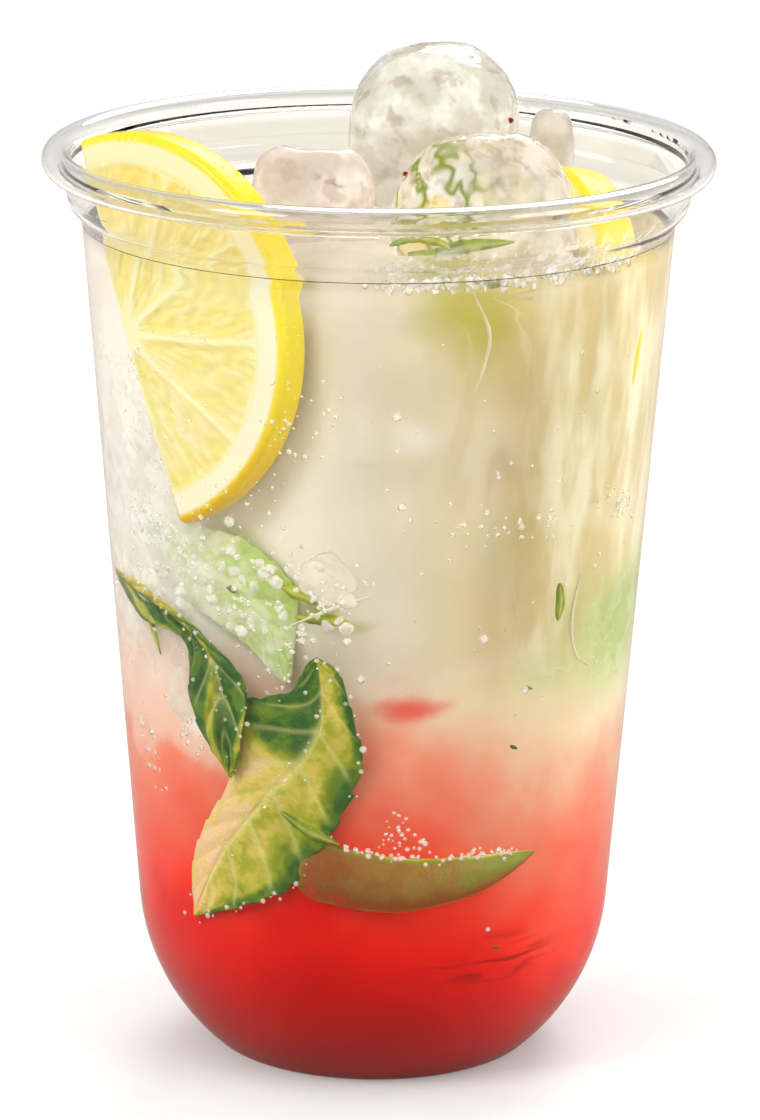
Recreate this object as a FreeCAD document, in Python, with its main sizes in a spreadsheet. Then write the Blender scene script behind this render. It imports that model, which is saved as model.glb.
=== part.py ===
"""A clear cold-drink cup with a rolled rim, filled with two drink layers, ice and lemon slices.

Row frame: millimetres, +Z up, origin at the centre of the foot on the table, X to the right of
the face that the half slice of lemon is pressed against, -Y to the front.
"""
import FreeCAD, Part
import math
import os

import Sketcher

Vector = FreeCAD.Vector
Rotation = FreeCAD.Rotation

# ---------------------------------------------------------------- driving dimensions, in mm and degrees
DIMENSIONS = {
    # cup
    "RimRadius": 47.5,          # outside of the rolled rim
    "CurlRadius": 2.0,          # outside of the rolled bead
    "CurlSweep": 318.0,         # how far the sheet is rolled round
    "CupHeight": 131.7,
    "Wall": 0.5,                # sheet thickness
    "ShoulderStep": 2.15,       # how far the stacking shoulder steps out
    "ShoulderBend": 3.0,        # bend radius of the shoulder
    "ShoulderDrop": 11.2,       # from the rim's top down to the shoulder's start
    "Draft": 4.62,              # lean of the side wall
    "CornerRadius": 31.4,       # big bowl-like bend at the bottom
    "FootRadius": 21.2,         # outer edge of the flat foot ring
    "FootFillet": 3.0,
    "FootRing": 2.7,            # width of the flat foot ring
    "DomeRise": 1.8,            # push-up of the base inside the foot ring
    # drink
    "DrinkDrop": 11.0,          # from the rim's top down to the drink
    "SyrupHeight": 50.0,        # top of the red layer above the table
    # lemon slices
    "HalfSliceRadius": 27.6,
    "HalfSliceThick": 5.6,
    "WheelRadius": 23.0,
    "WheelThick": 6.2,
    "RindThick": 4.4,           # zest and pith together
    "PeelRound": 1.2,           # rounding of the peel's edges
    "PulpSink": 0.5,            # how far the pulp lies below the rind's cut face
    "CoreRadius": 2.4,          # pith in the middle of a slice
    "MembraneThick": 0.7,       # between two segments
        "SliceGap": 0.4,            # film of drink between a slice and the wall
}

# Segments of pulp in a whole wheel of lemon.
SEGMENTS = 10

# How many steps round a slice's edge are tried against the wall.
SEAT_STEPS = 72

# Where each slice leans on the wall: the compass bearing of its outer face (0 is +X, 90 is +Y), how
# far that face looks up, how far the slice is turned in its own plane, how far its centre lies to the
# left of the bearing line as seen from the axis, and how far below the rim's top.
SLICES = {
    "lemon_left": {"Bearing": -128.0, "LookUp": 3.7, "Turned": 23.0, "Aside": -15.0, "Below": 23.2},
    "lemon_right": {"Bearing": 20.0, "LookUp": -10.0, "Turned": 12.0, "Aside": -6.0, "Below": 27.0},
}

# Each piece of ice: the block's width, depth and height, how much narrower its far side is, the draft
# of its sides, its melted rounding and the hollow in its top face. Then its middle behind the cup's
# axis and above the rim's top, its turn about +Z and its tip about its own width: a tip of 90 turns
# the hollow to the front, and one of 180 turns it down. Sideways a block's middle lies either OffWheel
# from the inner face of the whole slice, or so that its outline and ice_front's nest by NestIn, or
# RightOfBack from the middle of ice_back.
ICE = {
    "ice_back": {"Width": 28.8, "Depth": 22.0, "Tall": 26.0, "Skew": 2.5, "Taper": 3.0, "Round": 8.5,
                 "HollowRadius": 12.0, "HollowDepth": 1.6,
                 "OffWheel": 12.6, "Behind": 17.6, "Above": -1.6, "Turn": -6.0, "Tip": 186.0},
    "ice_front": {"Width": 30.6, "Depth": 26.0, "Tall": 19.0, "Skew": 2.5, "Taper": 5.0, "Round": 8.8,
                  "HollowRadius": 13.0, "HollowDepth": 3.0,
                  "OffWheel": 16.1, "Behind": -14.8, "Above": -7.2, "Turn": 5.0, "Tip": 68.0},
    "ice_left": {"Width": 21.0, "Depth": 15.0, "Tall": 20.0, "Skew": 1.5, "Taper": 4.0, "Round": 4.0,
                 "HollowRadius": 13.0, "HollowDepth": 1.2,
                 "NestIn": 2.0, "Behind": -2.8, "Above": -8.8, "Turn": 5.0, "Tip": -6.0},
    "ice_chip": {"Width": 9.0, "Depth": 7.5, "Tall": 12.5, "Skew": 1.0, "Taper": 3.0, "Round": 2.4,
                 "HollowRadius": 8.0, "HollowDepth": 0.5,
                 "RightOfBack": 17.4, "Behind": 25.6, "Above": -4.9, "Turn": -45.0, "Tip": 3.0},
}


def alias(*words):
    """The sheet's name for one size of one piece: the piece's label, then the size."""
    return "_".join(words)


def make_sheet(doc):
    """A spreadsheet with one named cell for each driving dimension."""
    sheet = doc.addObject("Spreadsheet::Sheet", "Dims")
    cells = dict(DIMENSIONS)
    for piece, sizes in {**SLICES, **ICE}.items():
        cells.update({alias(piece, size): value for size, value in sizes.items()})
    for row, (name, value) in enumerate(cells.items(), start=1):
        sheet.set(f"A{row}", name)
        sheet.set(f"B{row}", str(value))
        sheet.setAlias(f"B{row}", name)
    doc.recompute()
    return sheet


def dim(sheet, name):
    return float(getattr(sheet, name))


# ---------------------------------------------------------------- sketch helpers
def origin_plane(body, role):
    return next(f for f in body.Origin.OriginFeatures if f.Role == role)


def new_sketch(body, name, role):
    sketch = body.newObject("Sketcher::SketchObject", name)
    sketch.AttachmentSupport = (origin_plane(body, role), "")
    sketch.MapMode = "FlatFace"
    return sketch


def line(sketch, start, end):
    return sketch.addGeometry(Part.LineSegment(Vector(*start, 0), Vector(*end, 0)), False)


def arc(sketch, centre, radius, start_angle, end_angle):
    """An arc that runs anticlockwise from start_angle to end_angle, in degrees."""
    circle = Part.Circle(Vector(*centre, 0), Vector(0, 0, 1), radius)
    return sketch.addGeometry(
        Part.ArcOfCircle(circle, math.radians(start_angle), math.radians(end_angle)), False)


def fix(sketch, kind, *where, value, bind):
    """A dimension constraint whose value follows the sheet."""
    index = sketch.addConstraint(Sketcher.Constraint(kind, *where, value))
    name = f"{kind}{index}"
    sketch.renameConstraint(index, name)
    sketch.setExpression(f"Constraints.{name}", bind)


def tie(sketch, kind, *where):
    sketch.addConstraint(Sketcher.Constraint(kind, *where))


START, END, CENTRE = 1, 2, 3
ORIGIN = (-1, 1)
VERTICAL_AXIS = -2


# ---------------------------------------------------------------- cup
def collar_radius(sheet):
    return dim(sheet, "RimRadius") - 2 * dim(sheet, "CurlRadius") + dim(sheet, "Wall")


def shoulder_radius(sheet):
    return collar_radius(sheet) - dim(sheet, "ShoulderStep")


def shoulder_height(sheet):
    return dim(sheet, "CupHeight") - dim(sheet, "ShoulderDrop")


def inner_radius(sheet, height):
    """Inside radius of the cup at a height: the side wall's, or the collar's above the shoulder."""
    draft = math.radians(dim(sheet, "Draft"))
    below = shoulder_height(sheet) - height
    if -below > 2 * dim(sheet, "ShoulderBend"):
        return collar_radius(sheet) - dim(sheet, "Wall")
    below = max(below, 0.0)
    return shoulder_radius(sheet) - below * math.tan(draft) - dim(sheet, "Wall") / math.cos(draft)


def cup_outline(sketch, sheet, inset, inset_expression):
    """The closed half section of everything inside the cup's wall, from the base up to the middle of
    the rolled bead. inset 0 gives the outside of the sheet, and inset Wall the inside."""
    draft = math.radians(dim(sheet, "Draft"))
    foot_r = dim(sheet, "FootRadius")
    ring_inner = foot_r - dim(sheet, "FootRing")
    fillet = dim(sheet, "FootFillet")
    corner = dim(sheet, "CornerRadius")
    rise = dim(sheet, "DomeRise")
    bend = dim(sheet, "ShoulderBend")
    top = dim(sheet, "CupHeight") - dim(sheet, "CurlRadius")
    wall_top = (shoulder_radius(sheet) - inset * math.cos(draft),
                shoulder_height(sheet) + inset * math.sin(draft))
    collar = collar_radius(sheet) - inset

    dome_r = (ring_inner ** 2 + rise ** 2) / (2 * rise)
    dome_centre = (0.0, rise - dome_r)
    dome_edge = math.sqrt((dome_r + inset) ** 2 - (dome_r - rise + inset) ** 2)
    dome_angle = math.degrees(math.atan2(dome_r - rise + inset, dome_edge))

    # The corner's centre is CornerRadius inside the wall's line and CornerRadius - FootFillet from
    # the fillet's centre.
    up = (math.sin(draft), math.cos(draft))
    inward = (-math.cos(draft), math.sin(draft))
    fillet_centre = (foot_r, fillet)
    start = (wall_top[0] + (corner - inset) * inward[0] - fillet_centre[0],
             wall_top[1] + (corner - inset) * inward[1] - fillet_centre[1])
    along = start[0] * up[0] + start[1] * up[1]
    apart = start[0] ** 2 + start[1] ** 2 - (corner - fillet) ** 2
    slide = -along + math.sqrt(along ** 2 - apart)
    centre = (fillet_centre[0] + start[0] + slide * up[0],
              fillet_centre[1] + start[1] + slide * up[1])
    wall_low = (centre[0] - (corner - inset) * inward[0], centre[1] - (corner - inset) * inward[1])
    meet = math.degrees(math.atan2(fillet_centre[1] - centre[1], fillet_centre[0] - centre[0]))

    # The shoulder's two bends meet where both lean by the same angle.
    swing_centre = (wall_top[0] + (bend + inset) * math.cos(draft),
                    wall_top[1] - (bend + inset) * math.sin(draft))
    back_centre_x = collar - (bend - inset)
    turn = math.degrees(math.acos((swing_centre[0] - back_centre_x) / (2 * bend)))
    back_centre = (back_centre_x,
                   swing_centre[1] + 2 * bend * math.sin(math.radians(turn)))

    dome = arc(sketch, dome_centre, dome_r + inset, dome_angle, 90.0)
    foot = line(sketch, (dome_edge, inset), (foot_r, inset))
    heel = arc(sketch, fillet_centre, fillet - inset, -90.0, meet)
    bowl = arc(sketch, centre, corner - inset, meet, -math.degrees(draft))
    wall = line(sketch, wall_low, wall_top)
    swing = arc(sketch, swing_centre, bend + inset, 180 - turn, 180 - math.degrees(draft))
    back = arc(sketch, back_centre, bend - inset, -turn, 0.0)
    neck = line(sketch, (collar, back_centre[1]), (collar, top))
    lid = line(sketch, (collar, top), (0, top))
    axis = line(sketch, (0, top), (0, rise + inset))

    tie(sketch, "Coincident", dome, START, foot, START)
    tie(sketch, "Tangent", foot, END, heel, START)
    tie(sketch, "Tangent", heel, END, bowl, START)
    tie(sketch, "Tangent", bowl, END, wall, START)
    tie(sketch, "Tangent", wall, END, swing, END)
    tie(sketch, "Tangent", swing, START, back, START)
    tie(sketch, "Tangent", back, END, neck, START)
    tie(sketch, "Coincident", neck, END, lid, START)
    tie(sketch, "Coincident", lid, END, axis, START)
    tie(sketch, "Coincident", axis, END, dome, END)
    tie(sketch, "PointOnObject", dome, CENTRE, VERTICAL_AXIS)
    tie(sketch, "PointOnObject", lid, END, VERTICAL_AXIS)
    tie(sketch, "PointOnObject", axis, END, VERTICAL_AXIS)
    tie(sketch, "Horizontal", foot)
    tie(sketch, "Vertical", neck)
    tie(sketch, "Horizontal", lid)

    ring = "(Dims.FootRadius - Dims.FootRing)"
    dome_expression = f"({ring}^2 + Dims.DomeRise^2) / (2 * Dims.DomeRise)"
    collar_expression = "(Dims.RimRadius - 2 * Dims.CurlRadius + Dims.Wall)"
    fix(sketch, "Radius", dome, value=dome_r + inset, bind=f"{dome_expression} + {inset_expression}")
    fix(sketch, "DistanceY", *ORIGIN, dome, END, value=rise + inset,
        bind=f"Dims.DomeRise + {inset_expression}")
    if inset:
        fix(sketch, "DistanceY", *ORIGIN, foot, END, value=inset, bind=inset_expression)
    else:
        tie(sketch, "PointOnObject", foot, END, -1)
    fix(sketch, "DistanceX", *ORIGIN, foot, END, value=foot_r, bind="Dims.FootRadius")
    fix(sketch, "Radius", heel, value=fillet - inset, bind=f"Dims.FootFillet - {inset_expression}")
    fix(sketch, "Radius", bowl, value=corner - inset, bind=f"Dims.CornerRadius - {inset_expression}")
    fix(sketch, "DistanceX", *ORIGIN, wall, END, value=wall_top[0],
        bind=f"{collar_expression} - Dims.ShoulderStep - {inset_expression} * cos(Dims.Draft * 1 deg)")
    fix(sketch, "DistanceY", *ORIGIN, wall, END, value=wall_top[1],
        bind=f"Dims.CupHeight - Dims.ShoulderDrop + {inset_expression} * sin(Dims.Draft * 1 deg)")
    fix(sketch, "Angle", wall, value=math.pi / 2 - draft, bind="90 deg - Dims.Draft * 1 deg")
    fix(sketch, "Radius", swing, value=bend + inset, bind=f"Dims.ShoulderBend + {inset_expression}")
    fix(sketch, "Radius", back, value=bend - inset, bind=f"Dims.ShoulderBend - {inset_expression}")
    fix(sketch, "DistanceX", *ORIGIN, neck, END, value=collar,
        bind=f"{collar_expression} - {inset_expression}")
    fix(sketch, "DistanceY", *ORIGIN, lid, END, value=top, bind="Dims.CupHeight - Dims.CurlRadius")


def curl_section(sketch, sheet):
    """The rolled bead: the sheet goes on from the collar's top, over, out and back under itself."""
    curl = dim(sheet, "CurlRadius")
    wall = dim(sheet, "Wall")
    centre = (dim(sheet, "RimRadius") - curl, dim(sheet, "CupHeight") - curl)
    sweep = dim(sheet, "CurlSweep")
    end = math.radians(180 - sweep)

    def on(radius, angle):
        return centre[0] + radius * math.cos(angle), centre[1] + radius * math.sin(angle)

    outside = arc(sketch, centre, curl, 180 - sweep, 180)
    inside = arc(sketch, centre, curl - wall, 180 - sweep, 180)
    root = line(sketch, on(curl, math.pi), on(curl - wall, math.pi))
    lip = line(sketch, on(curl, end), on(curl - wall, end))
    tie(sketch, "Coincident", outside, END, root, START)
    tie(sketch, "Coincident", inside, END, root, END)
    tie(sketch, "Coincident", outside, START, lip, START)
    tie(sketch, "Coincident", inside, START, lip, END)
    tie(sketch, "Coincident", outside, CENTRE, inside, CENTRE)
    tie(sketch, "Horizontal", root)
    fix(sketch, "DistanceX", *ORIGIN, outside, CENTRE, value=centre[0],
        bind="Dims.RimRadius - Dims.CurlRadius")
    fix(sketch, "DistanceY", *ORIGIN, outside, CENTRE, value=centre[1],
        bind="Dims.CupHeight - Dims.CurlRadius")
    fix(sketch, "DistanceY", *ORIGIN, outside, END, value=centre[1],
        bind="Dims.CupHeight - Dims.CurlRadius")
    fix(sketch, "Radius", outside, value=curl, bind="Dims.CurlRadius")
    fix(sketch, "Radius", inside, value=curl - wall, bind="Dims.CurlRadius - Dims.Wall")
    fix(sketch, "Angle", lip, START, root, START, value=math.radians(360 - sweep),
        bind="360 deg - Dims.CurlSweep * 1 deg")


def spin(body, name, sketch, kind="PartDesign::Revolution"):
    feature = body.newObject(kind, name)
    feature.Profile = sketch
    feature.ReferenceAxis = (sketch, ["V_Axis"])
    feature.Angle = 360
    sketch.Visibility = False
    return feature


def make_cup(doc, sheet):
    body = doc.addObject("PartDesign::Body", "cup")
    outline = new_sketch(body, "cup_outside", "XZ_Plane")
    cup_outline(outline, sheet, 0.0, "0")
    spin(body, "cup_form", outline)
    doc.recompute()
    hollow = new_sketch(body, "cup_inside", "XZ_Plane")
    cup_outline(hollow, sheet, dim(sheet, "Wall"), "Dims.Wall")
    spin(body, "cup_hollow", hollow, "PartDesign::Groove")
    doc.recompute()
    bead = new_sketch(body, "cup_bead_section", "XZ_Plane")
    curl_section(bead, sheet)
    spin(body, "cup_bead", bead)
    doc.recompute()
    return body


# ---------------------------------------------------------------- drink
def make_cavity(doc, sheet):
    """Everything inside the cup up to the middle of the bead: the drink is cut from it."""
    body = doc.addObject("PartDesign::Body", "cavity")
    outline = new_sketch(body, "cavity_outline", "XZ_Plane")
    cup_outline(outline, sheet, dim(sheet, "Wall"), "Dims.Wall")
    spin(body, "cavity_form", outline)
    return body


def make_slab(doc, name, bottom, height):
    """A round slab wider than the cup, which picks one layer out of the cavity."""
    slab = doc.addObject("Part::Cylinder", name)
    slab.setExpression("Radius", "Dims.RimRadius")
    slab.setExpression("Height", height)
    slab.setExpression("Placement.Base.z", bottom)
    return slab


def boolean(doc, kind, label, base, tool):
    feature = doc.addObject(kind, label)
    feature.Base = base
    feature.Tool = tool
    feature.Label = label
    return feature


def make_drink(doc, cavity, pieces):
    """The red layer, and the clear one above it, cut round the ice and the slices."""
    level = "Dims.CupHeight - Dims.DrinkDrop"
    red_slab = make_slab(doc, "red_slab", "0", "Dims.SyrupHeight")
    clear_slab = make_slab(doc, "clear_slab", "Dims.SyrupHeight", f"{level} - Dims.SyrupHeight")
    syrup = boolean(doc, "Part::Common", "syrup_layer", cavity, red_slab)
    clear_drink = boolean(doc, "Part::Common", "clear_drink", cavity, clear_slab)
    garnish = doc.addObject("Part::Compound", "garnish")
    garnish.Links = pieces
    soda = boolean(doc, "Part::Cut", "soda_layer", clear_drink, garnish)
    return [syrup, soda]


# ---------------------------------------------------------------- lemon
def slice_outline(sketch, radius, radius_name, half):
    """A disc, or the half of one on its local +X side, centred on the slice's core."""
    if not half:
        rim = sketch.addGeometry(Part.Circle(Vector(0, 0, 0), Vector(0, 0, 1), radius), False)
        tie(sketch, "Coincident", rim, CENTRE, *ORIGIN)
    else:
        rim = arc(sketch, (0, 0), radius, -90.0, 90.0)
        cut = line(sketch, (0, radius), (0, -radius))
        tie(sketch, "Coincident", rim, CENTRE, *ORIGIN)
        tie(sketch, "Coincident", rim, END, cut, START)
        tie(sketch, "Coincident", cut, END, rim, START)
        tie(sketch, "Vertical", cut)
    fix(sketch, "Radius", rim, value=radius, bind=f"Dims.{radius_name}")


def segment_outline(sketch, sheet, radius, radius_name, middle):
    """One segment of pulp: a wedge from the core to the rind, with a membrane on both sides.

    Its sides run parallel to the lines between neighbouring segments, half a membrane inside them.
    """
    half_pitch = math.pi / SEGMENTS
    half_membrane = dim(sheet, "MembraneThick") / 2
    outer = radius - dim(sheet, "RindThick")
    inner = dim(sheet, "CoreRadius")

    def on(ring, side):
        """Where a side line crosses a ring about the core; side is 1 or -1."""
        angle = middle + side * (half_pitch - math.asin(half_membrane / ring))
        return ring * math.cos(angle), ring * math.sin(angle)

    def degrees_at(ring, side):
        x, y = on(ring, side)
        return math.degrees(math.atan2(y, x))

    rind_side = arc(sketch, (0, 0), outer, degrees_at(outer, -1), degrees_at(outer, 1))
    left = line(sketch, on(outer, 1), on(inner, 1))
    core_side = arc(sketch, (0, 0), inner, degrees_at(inner, -1), degrees_at(inner, 1))
    right = line(sketch, on(inner, -1), on(outer, -1))
    tie(sketch, "Coincident", rind_side, CENTRE, *ORIGIN)
    tie(sketch, "Coincident", core_side, CENTRE, *ORIGIN)
    tie(sketch, "Coincident", rind_side, END, left, START)
    tie(sketch, "Coincident", left, END, core_side, END)
    tie(sketch, "Coincident", core_side, START, right, START)
    tie(sketch, "Coincident", right, END, rind_side, START)
    fix(sketch, "Radius", rind_side, value=outer, bind=f"Dims.{radius_name} - Dims.RindThick")
    fix(sketch, "Radius", core_side, value=inner, bind="Dims.CoreRadius")
    for side, geometry in ((1, left), (-1, right)):
        edge = middle + side * half_pitch
        fix(sketch, "Distance", *ORIGIN, geometry, value=half_membrane, bind="Dims.MembraneThick / 2")
        angle = edge + math.pi if side == 1 else edge
        fix(sketch, "Angle", geometry, value=angle, bind=f"{math.degrees(angle)} deg")


def make_slice(doc, sheet, label, radius_name, thick_name, half):
    """A slice in its local XY plane, with its pulp sunk a little on both cut faces."""
    radius = dim(sheet, radius_name)
    thick = dim(sheet, thick_name)
    body = doc.addObject("PartDesign::Body", label)
    outline = new_sketch(body, f"{label}_outline", "XY_Plane")
    slice_outline(outline, radius, radius_name, half)
    disc = body.newObject("PartDesign::Pad", f"{label}_disc")
    disc.Profile = outline
    disc.Midplane = True
    disc.setExpression("Length", f"Dims.{thick_name}")
    outline.Visibility = False
    doc.recompute()

    round_edges = [f"Edge{index}" for index, edge in enumerate(disc.Shape.Edges, start=1)
                   if isinstance(edge.Curve, Part.Circle)]
    peel = body.newObject("PartDesign::Fillet", f"{label}_peel")
    peel.Base = (disc, round_edges)
    peel.setExpression("Radius", "Dims.PeelRound")
    doc.recompute()

    pitch = 2 * math.pi / SEGMENTS
    first = -math.pi / 2 + pitch / 2 if half else 0.0
    count = SEGMENTS // 2 if half else SEGMENTS
    pockets = []
    for face, side in (("front", 1), ("back", -1)):
        sketch = new_sketch(body, f"{label}_{face}_segment", "XY_Plane")
        sketch.setExpression("AttachmentOffset.Base.z", f"{side} * Dims.{thick_name} / 2")
        segment_outline(sketch, sheet, radius, radius_name, first)
        pocket = body.newObject("PartDesign::Pocket", f"{label}_{face}_pulp")
        pocket.Profile = sketch
        pocket.Reversed = side == -1
        pocket.setExpression("Length", "Dims.PulpSink")
        sketch.Visibility = False
        doc.recompute()
        pockets.append(pocket)
    ring = body.newObject("PartDesign::PolarPattern", f"{label}_segments")
    ring.Originals = pockets
    ring.Axis = (outline, ["N_Axis"])
    ring.Angle = 360.0 if not half else math.degrees(pitch) * (count - 1)
    ring.Occurrences = count
    body.Tip = ring
    doc.recompute()
    if not ring.Shape.Volume < peel.Shape.Volume:
        raise ValueError(f"{label}: the pulp isn't sunk")
    place_slice(sheet, body, label, radius, thick, half)
    return body


def place_slice(sheet, body, label, radius, thick, half):
    """Lean the slice on the inside of the wall, as far out as it goes with SliceGap to spare."""
    bearing = dim(sheet, alias(label, "Bearing"))
    upright = Rotation(Vector(1, 1, 1), 120)        # face to +X, local Y up
    turned = Rotation(Vector(0, 0, 1), dim(sheet, alias(label, "Turned")))
    lean = Rotation(Vector(0, 1, 0), -dim(sheet, alias(label, "LookUp")))
    rotation = Rotation(Vector(0, 0, 1), bearing) * lean * upright * turned
    out = Vector(math.cos(math.radians(bearing)), math.sin(math.radians(bearing)), 0)
    left = Vector(-out.y, out.x, 0)
    height = dim(sheet, "CupHeight") - dim(sheet, alias(label, "Below"))
    aside = dim(sheet, alias(label, "Aside"))

    reach = math.radians(90 if half else 180)
    rounding = dim(sheet, "PeelRound")
    # The peel's rounded edge: its two ends, and the middle of its arc.
    tuck = rounding * (1 - math.sqrt(0.5))
    edge = [(radius, thick / 2 - rounding), (radius - tuck, thick / 2 - tuck), (radius - rounding, thick / 2)]
    room = []
    for step in range(SEAT_STEPS + 1):
        angle = -reach + 2 * reach * step / SEAT_STEPS
        for ring, offset in edge + [(ring, -offset) for ring, offset in edge]:
            corner = rotation.multVec(Vector(ring * math.cos(angle), ring * math.sin(angle), offset))
            wall = inner_radius(sheet, height + corner.z) - dim(sheet, "SliceGap")
            across = aside + corner.dot(left)
            room.append(math.sqrt(wall ** 2 - across ** 2) - corner.dot(out))
    body.Placement = FreeCAD.Placement(
        out * min(room) + left * aside + Vector(0, 0, height), rotation)


# ---------------------------------------------------------------- ice
def ice_outline(sketch, sheet, label):
    """The foot of an ice block: a trapezoid whose far side is narrower by Skew on each end."""
    wide = dim(sheet, alias(label, "Width")) / 2
    deep = dim(sheet, alias(label, "Depth")) / 2
    skew = dim(sheet, alias(label, "Skew"))
    corners = [(-wide, -deep), (wide, -deep), (wide - skew, deep), (-wide + skew, deep)]
    sides = [line(sketch, corners[i], corners[(i + 1) % 4]) for i in range(4)]
    for i in range(4):
        tie(sketch, "Coincident", sides[i], END, sides[(i + 1) % 4], START)
    near, _, far, _ = sides
    tie(sketch, "Symmetric", near, START, near, END, VERTICAL_AXIS)
    tie(sketch, "Symmetric", far, START, far, END, VERTICAL_AXIS)
    name = f"Dims.{label}"
    fix(sketch, "DistanceX", near, START, near, END, value=2 * wide, bind=f"{name}_Width")
    fix(sketch, "DistanceX", far, END, far, START, value=2 * (wide - skew),
        bind=f"{name}_Width - 2 * {name}_Skew")
    fix(sketch, "DistanceY", *ORIGIN, far, START, value=deep, bind=f"{name}_Depth / 2")
    fix(sketch, "DistanceY", near, START, *ORIGIN, value=deep, bind=f"{name}_Depth / 2")


def make_block(doc, sheet, label):
    """A melted block: tapered, rounded all over, with a shallow hollow in its top face."""
    name = f"Dims.{label}"
    body = doc.addObject("PartDesign::Body", label)
    outline = new_sketch(body, f"{label}_outline", "XY_Plane")
    ice_outline(outline, sheet, label)
    block = body.newObject("PartDesign::Pad", f"{label}_block")
    block.Profile = outline
    block.setExpression("Length", f"{name}_Tall")
    block.setExpression("TaperAngle", f"-{name}_Taper")
    outline.Visibility = False
    doc.recompute()
    melted = body.newObject("PartDesign::Fillet", f"{label}_melted")
    melted.Base = (block, [])
    melted.UseAllEdges = True
    melted.setExpression("Radius", f"{name}_Round")
    doc.recompute()
    hollow = body.newObject("PartDesign::SubtractiveSphere", f"{label}_hollow")
    hollow.AttachmentSupport = (origin_plane(body, "XY_Plane"), "")
    hollow.MapMode = "FlatFace"
    hollow.setExpression("Radius", f"{name}_HollowRadius")
    hollow.setExpression("AttachmentOffset.Base.z",
                         f"{name}_Tall + {name}_HollowRadius - {name}_HollowDepth")
    doc.recompute()
    if not hollow.Shape.Volume < melted.Shape.Volume:
        raise ValueError(f"{label}: the hollow cuts nothing")
    return body


def place_block(sheet, body, label, right):
    """Put the block's middle at its place, and turn and tip it about that."""
    middle = Vector(right, dim(sheet, alias(label, "Behind")), block_height(sheet, label))
    turn = Rotation(Vector(0, 0, 1), dim(sheet, alias(label, "Turn")))
    tip = Rotation(Vector(1, 0, 0), dim(sheet, alias(label, "Tip")))
    half_up = Vector(0, 0, dim(sheet, alias(label, "Tall")) / 2)
    body.Placement = FreeCAD.Placement(middle - (turn * tip).multVec(half_up), turn * tip)


def block_height(sheet, label):
    """Height of a block's middle above the table."""
    return dim(sheet, "CupHeight") + dim(sheet, alias(label, "Above"))


def right_of_wheel(sheet, wheel, label):
    """How far right a block's middle is when it lies OffWheel from the wheel's inner face."""
    normal = wheel.Placement.Rotation.multVec(Vector(0, 0, 1))
    face = wheel.Placement.Base.dot(normal) - dim(sheet, "WheelThick") / 2
    behind = dim(sheet, alias(label, "Behind"))
    rest = normal.y * behind + normal.z * block_height(sheet, label)
    return (face - dim(sheet, alias(label, "OffWheel")) - rest) / normal.x


def make_ice(doc, sheet, wheel):
    """The four blocks that stand out of the drink, each placed from its neighbour."""
    blocks = {label: make_block(doc, sheet, label) for label in ICE}
    back = right_of_wheel(sheet, wheel, "ice_back")
    front = right_of_wheel(sheet, wheel, "ice_front")
    half_widths = (dim(sheet, "ice_front_Width") + dim(sheet, "ice_left_Width")) / 2
    place_block(sheet, blocks["ice_back"], "ice_back", back)
    place_block(sheet, blocks["ice_front"], "ice_front", front)
    place_block(sheet, blocks["ice_left"], "ice_left", front - half_widths + dim(sheet, "ice_left_NestIn"))
    place_block(sheet, blocks["ice_chip"], "ice_chip", back + dim(sheet, "ice_chip_RightOfBack"))
    return list(blocks.values())


def main():
    doc = FreeCAD.newDocument("lemon_soda")
    sheet = make_sheet(doc)
    cup = make_cup(doc, sheet)
    cavity = make_cavity(doc, sheet)
    half_slice = make_slice(doc, sheet, "lemon_left", "HalfSliceRadius", "HalfSliceThick", True)
    wheel = make_slice(doc, sheet, "lemon_right", "WheelRadius", "WheelThick", False)
    ice = make_ice(doc, sheet, wheel)
    drink = make_drink(doc, cavity, [half_slice, wheel, *ice])
    doc.recompute()
    broken = [o.Name for o in doc.Objects if "Invalid" in o.State or "Error" in o.State]
    if broken:
        raise ValueError(f"not built: {broken}")
    os.makedirs("parts", exist_ok=True)
    for part in [cup, *drink, half_slice, wheel, *ice]:
        if part.Shape.isNull() or not part.Shape.isValid():
            raise ValueError(f"{part.Label} isn't a sound solid")
        part.Shape.exportStep(f"parts/{part.Label}.step")


main()
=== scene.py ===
"""Lemon and mint soda over red syrup and ice, in a clear plastic cup with a rolled rim.

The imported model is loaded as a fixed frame. The cup keeps its own shape and gets a clear plastic
finish. The two liquids, the fruit and the ice are replaced by detailed pieces, and the herbs, the
lime, the bubbles and the cloudy middle of the drink are added. All lengths inside the classes are
in millimetres unless a name says otherwise, and pieces are made in metres.
"""

from __future__ import annotations

import logging
import math
from dataclasses import dataclass, field
from enum import Enum
from typing import Callable, Sequence

import bpy
import numpy as np
from mathutils import Matrix, Vector, noise
from mathutils.bvhtree import BVHTree

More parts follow.
